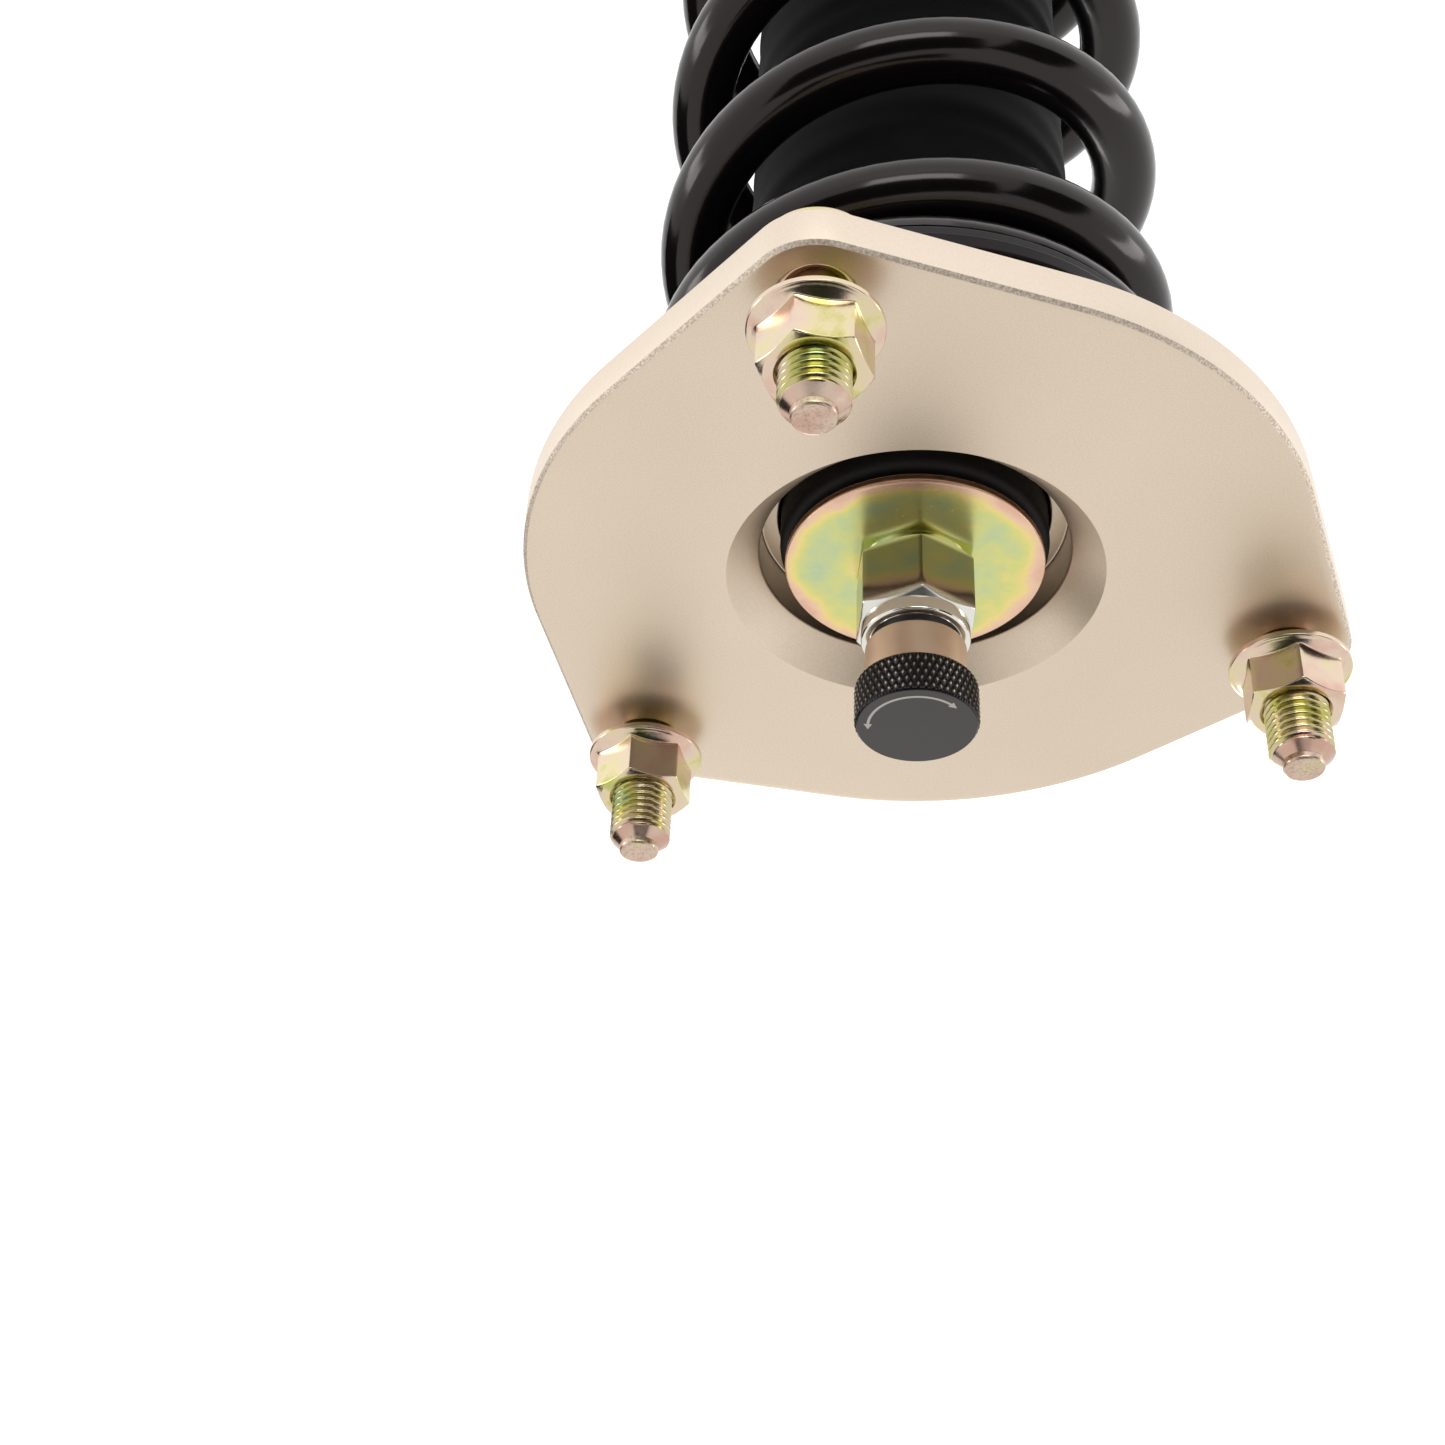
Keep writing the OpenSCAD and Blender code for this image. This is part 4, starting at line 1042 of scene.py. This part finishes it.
def boot():
    """A thin sleeve whose outside is rippled by shallow moulded rings."""
    inner_r, roof = boot_r - BOOT_WALL, boot_high - BOOT_WALL
    z = np.linspace(boot_low, boot_high - 4, BOOT_RIBS * 8 + 1)
    wave = 1 - np.cos(2 * np.pi * BOOT_RIBS * (z - boot_low) / (z[-1] - boot_low))
    outer = np.stack([boot_r - 0.02 - BOOT_RIPPLE * wave / 2, z], 1)
    inner = np.stack([np.full(len(z), inner_r), z[::-1]], 1)
    crown = [(boot_r, boot_high), (BOOT_BORE_R, boot_high), (BOOT_BORE_R, roof), (inner_r, roof)]
    return turned("dust_boot_sleeve", np.concatenate([outer, crown, inner]), 0)


stands_for(boot(), "dust_boot", "black_boot_rubber")

# %% [markdown]
# The foam bump stop folds at its waists as it is pressed, so it is moulded as a stack of bulges.

# %% Bump stop
bump_low, bump_high, bump_r = levels("bump_stop")
BUMP_WAIST_R, BUMP_BORE_R, BUMP_BULGES = 12.6, 7.2, 3


def bump_stop():
    """The radius is a raised cosine of the level between the waists and the bulges."""
    z = np.linspace(bump_low, bump_high, BUMP_BULGES * 24 + 1)
    wave = (1 - np.cos(2 * np.pi * BUMP_BULGES * (z - bump_low) / (bump_high - bump_low))) / 2
    outer = np.stack([BUMP_WAIST_R + (bump_r - 0.05 - BUMP_WAIST_R) * wave**0.8, z], 1)
    outline = np.concatenate([[[BUMP_BORE_R, bump_low]], outer, [[BUMP_BORE_R, bump_high]]])
    return turned("bump_stop_foam", outline, 0, 96)


stands_for(bump_stop(), "bump_stop")

# %% [markdown]
# ## Threaded body
# The long thread carries the perch and the lower bracket. It is the studs' helical grid again.

# %% Body
tube_low, tube_high, tube_r = levels("damper_tube")
BODY_PITCH, BODY_BORE_R, BODY_THREAD, BODY_RELIEF = 2.0, 19.0, 1.2, 3.0


def body_limit(level):
    """The thread starts on a chamfer at the top, and ends in a plain relief at the bottom."""
    lead = tube_r - BODY_THREAD + (tube_high - level)
    relief = tube_r - BODY_THREAD + np.maximum(0, level - tube_low - BODY_RELIEF)
    return np.minimum(tube_r - 0.01, np.minimum(lead, relief))


body = threaded(
    "threaded_body", tube_r - 0.01, BODY_THREAD, BODY_PITCH, tube_low, tube_high, body_limit,
    columns=96, rows_per_turn=6, bore=BODY_BORE_R,
)
stands_for(body, "damper_tube")

# %% [markdown]
# ## Rings with spanner slots
# Each ring is turned, then slotted for a hook spanner. The slots' walls lie where the angle is
# doubled, a hair's breadth apart, so that they come out straight and square.

# %% Slotted rings
SLOTS, SLOT_W, SLOT_DEPTH, HAIR = 6, 7.0, 3.0, 0.004
RING_R, RING_BORE = 31.0, 22.55


def slotted(name, corners, slot_low, slot_high, radius=0.5):
    """A turned outline whose outer radius drops by the slots' depth between two levels."""
    outline = dense(rounded(corners, radius), 1.5)
    half = math.asin(SLOT_W / 2 / (RING_R - SLOT_DEPTH / 2))
    step = 2 * np.pi / SLOTS
    walls = np.array([-half - HAIR, -half + HAIR, half - HAIR, half + HAIR])
    inside = np.linspace(-half + 0.03, half - 0.03, 7)
    outside = np.linspace(half + 0.04, step - half - 0.04, 18)
    one = np.sort(np.concatenate([walls, inside, outside]))
    angle = np.concatenate([one + i * step for i in range(SLOTS)])[None, :]
    off = (angle + step / 2) % step - step / 2
    radius, level = outline[:, :1], outline[:, 1:]
    cut_here = (np.abs(off) < half) & (level >= slot_low) & (level <= slot_high)
    floor_r = (RING_R - SLOT_DEPTH) / np.cos(off)
    radius = np.where(cut_here, np.minimum(radius, floor_r), radius)
    return settle(skin(name, about("z", radius, level, angle)), 35)


perch_low, perch_high, perch_r = levels("spring_perch")
PERCH_LIP_H, PERCH_FLANGE_T, PERCH_LIP_T = 6.0, 7.0, 3
perch_top = perch_high - PERCH_LIP_H
flange_low = perch_top - PERCH_FLANGE_T
perch_outline = [
    (RING_BORE, perch_low), (RING_R, perch_low), (RING_R, flange_low), (perch_r, flange_low),
    (perch_r, perch_top), (LIP_R, perch_top), (LIP_R, perch_high),
    (LIP_R - PERCH_LIP_T, perch_high), (LIP_R - PERCH_LIP_T, perch_top), (RING_BORE, perch_top),
]
perch = slotted("perch_body", perch_outline, perch_low - 1, flange_low - 2, 0.7)
stands_for(perch, "spring_perch")
for node in ("perch_lock_ring", "lower_lock_collar"):
    low, high, _ = levels(node)
    corners = section(RING_BORE, RING_R, low, high)
    stands_for(slotted(f"{node}_body", corners, low - 1, high + 1, 0.9), node)

# %% [markdown]
# ## Lower bracket
# Barrel, neck and ball are turned from one bar. The ball is a solid of revolution about the bolt,
# so that its two flat faces and its bore come from one outline.

# %% Barrel, neck and ball
BARREL_LOW, BARREL_HIGH, BARREL_R, BARREL_FLOOR = 36.5, 136.5, 26.0, 46.5
NECK_R, NECK_FLATS, NECK_LOW, NECK_HIGH = 13.0, 22.0, 15.5, 37.0
BALL_R, BALL_FLAT, EYE_BORE_R = 21.0, 12.4, 14.5
barrel_outline = [
    (0, BARREL_LOW), (BARREL_R, BARREL_LOW), (BARREL_R, BARREL_HIGH), (RING_BORE, BARREL_HIGH),
    (RING_BORE, BARREL_FLOOR), (0, BARREL_FLOOR),
]
stands_for(turned("bracket_barrel", barrel_outline, 0.7, 192), "lower_bracket")


def neck():
    """A bar with two wrench flats: the radius is the lesser of the bar's and the flats'."""
    angle = full_turn(240)
    level = np.array([NECK_LOW, NECK_LOW + 0.5, NECK_HIGH - 1.2, NECK_HIGH - 0.7, NECK_HIGH])
    flat = NECK_FLATS / 2 / np.maximum(np.abs(np.sin(angle)), 0.2)
    wall = soft_least(NECK_R, flat, 0.04).repeat(len(level), axis=0)
    return walled("bracket_neck", [(0, NECK_LOW)], level, wall, [(0, NECK_HIGH)], angle, 40)


add(neck(), "lower_bracket")


def ball():
    """A zone of a sphere about the bolt, between its flat faces, with the bore through it."""
    edge = math.sqrt(BALL_R**2 - BALL_FLAT**2)
    arc = np.linspace(-1, 1, 61) * math.atan2(BALL_FLAT - 0.35, edge)
    zone = np.stack([BALL_R * np.cos(arc), BALL_R * np.sin(arc)], 1)
    rim = np.array([
        (EYE_BORE_R, BALL_FLAT - 0.5), (EYE_BORE_R + 0.15, BALL_FLAT - 0.12),
        (EYE_BORE_R + 0.5, BALL_FLAT), (edge - 0.35, BALL_FLAT), (edge - 0.05, BALL_FLAT - 0.08),
    ])
    outline = np.concatenate([rim * (1, -1), zone, rim[::-1]])
    return turned("bracket_ball", outline, 0, 144, "y")


add(ball(), "lower_bracket")

# %% Eye bush and sleeve
sleeve_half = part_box("eye_sleeve")[1].y / MM
bush_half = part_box("eye_bush_rubber")[1].y / MM
EYE_SLEEVE_R, BOLT_R = 8.65, 6.1
rubber_half = np.array([
    (8.70, bush_half), (9.45, bush_half), (9.75, BALL_FLAT + 4.6), (EYE_BORE_R, BALL_FLAT + 0.3),
    (EYE_BORE_R, BALL_FLAT - 1.0), (EYE_BORE_R - 1.2, BALL_FLAT - 1.0),
])
rubber_outline = np.concatenate([rubber_half[::-1], rubber_half * (1, -1)])
stands_for(turned("eye_bush_body", rubber_outline, 0.6, axis="y"), "eye_bush_rubber")
sleeve_outline = section(BOLT_R, EYE_SLEEVE_R, -sleeve_half, sleeve_half)
stands_for(turned("eye_sleeve_tube", sleeve_outline, 0.4, axis="y"), "eye_sleeve")

# %% [markdown]
# ## Studio
# A pale floor carries the damper's shadow, and lies low enough for the bracket to be screwed all
# the way down. Light of its own makes it white for the camera and in reflections. Stronger lamps
# would change the colours of the parts.

# %% Floor and world
FLOOR_HALF, FLOOR_GLOW = 6.0, 0.60
BRACKET_DROP = 0.032
SKY_LIGHT, SKY_SEEN = 0.55, 1.0
SQUARE = np.array([[[-1, -1, 0], [1, -1, 0]], [[-1, 1, 0], [1, 1, 0]]], float)

finish, _ = grainy("studio_floor", 60, (0.80,) * 3, (0.82,) * 3, Roughness=0.9)
finish.set(Specular_IOR_Level=0.0, Emission_Color=(1.0, 1.0, 1.0))
finish.set(Emission_Strength=finish.seen() * FLOOR_GLOW)
floor_level = cad_box[0].z - BRACKET_DROP
floor_grid = (SQUARE * FLOOR_HALF + np.array([0, 0, floor_level])) / MM
floor = skin("studio_floor", floor_grid, close_rows=False, close_columns=False)
floor.data.materials.append(finish.material)

world = bpy.data.worlds.new("studio")
scene.world = world
world.use_nodes = True
sky = Nodes(world.node_tree)
background = sky.tree.nodes["Background"]
background.inputs["Color"].default_value = (1.0, 0.995, 0.985, 1)
sky.feed(background.inputs["Strength"], sky.seen() * (SKY_SEEN - SKY_LIGHT) + SKY_LIGHT)


# %% Lamps
AIM = Vector((0, 0, 0.30))


def softbox(name, place, width, height, radiance):
    """A rectangular lamp that faces the damper. A mirror would show its radiance."""
    data = bpy.data.lights.new(name, "AREA")
    data.shape = "RECTANGLE"
    data.size, data.size_y = width, height
    data.energy = radiance * math.pi * width * height
    lamp = bpy.data.objects.new(name, data)
    scene.collection.objects.link(lamp)
    lamp.location = place
    lamp.rotation_euler = (AIM - Vector(place)).to_track_quat("-Z", "Y").to_euler()


softbox("key", (0.40, 1.25, 0.30), 0.8, 0.35, 4.0)
softbox("left_strip", (-1.25, 0.35, 0.35), 0.22, 1.1, 4.0)
softbox("right_strip", (1.2, -0.45, 0.35), 0.22, 1.1, 3.5)
softbox("back_strip", (-0.45, -1.3, 0.30), 0.35, 0.9, 3.0)

# %% [markdown]
# Bright metal shows whatever stands round it, and in an all-white room it looks like plaster. Dark
# cards give it something to show. Only reflections see them.


# %% Dark cards
def dark_card(name, place, width, height):
    """A flat card that faces the damper and is seen by glossy rays alone."""
    facing = (AIM - Vector(place)).to_track_quat("Z", "Y").to_matrix()
    points = SQUARE * (width / 2, height / 2, 0) @ np.array(facing).T + np.array(place)
    card = skin(name, points / MM, close_rows=False, close_columns=False)
    finish, _ = grainy(name, 40, (0.015,) * 3, (0.03,) * 3, detail=1, Roughness=1.0)
    finish.set(Specular_IOR_Level=0.0)
    card.data.materials.append(finish.material)
    card.visible_camera = card.visible_diffuse = card.visible_shadow = False
    card.visible_transmission = card.visible_volume_scatter = False


dark_card("camera_card", (0.30, 1.45, 1.12), 2.6, 1.3)
dark_card("overhead_card", (0.10, 0.25, 1.75), 1.1, 0.9)
dark_card("left_card", (-1.35, -0.45, 0.4), 0.7, 1.6)
dark_card("right_card", (1.35, 0.45, 0.4), 0.7, 1.6)
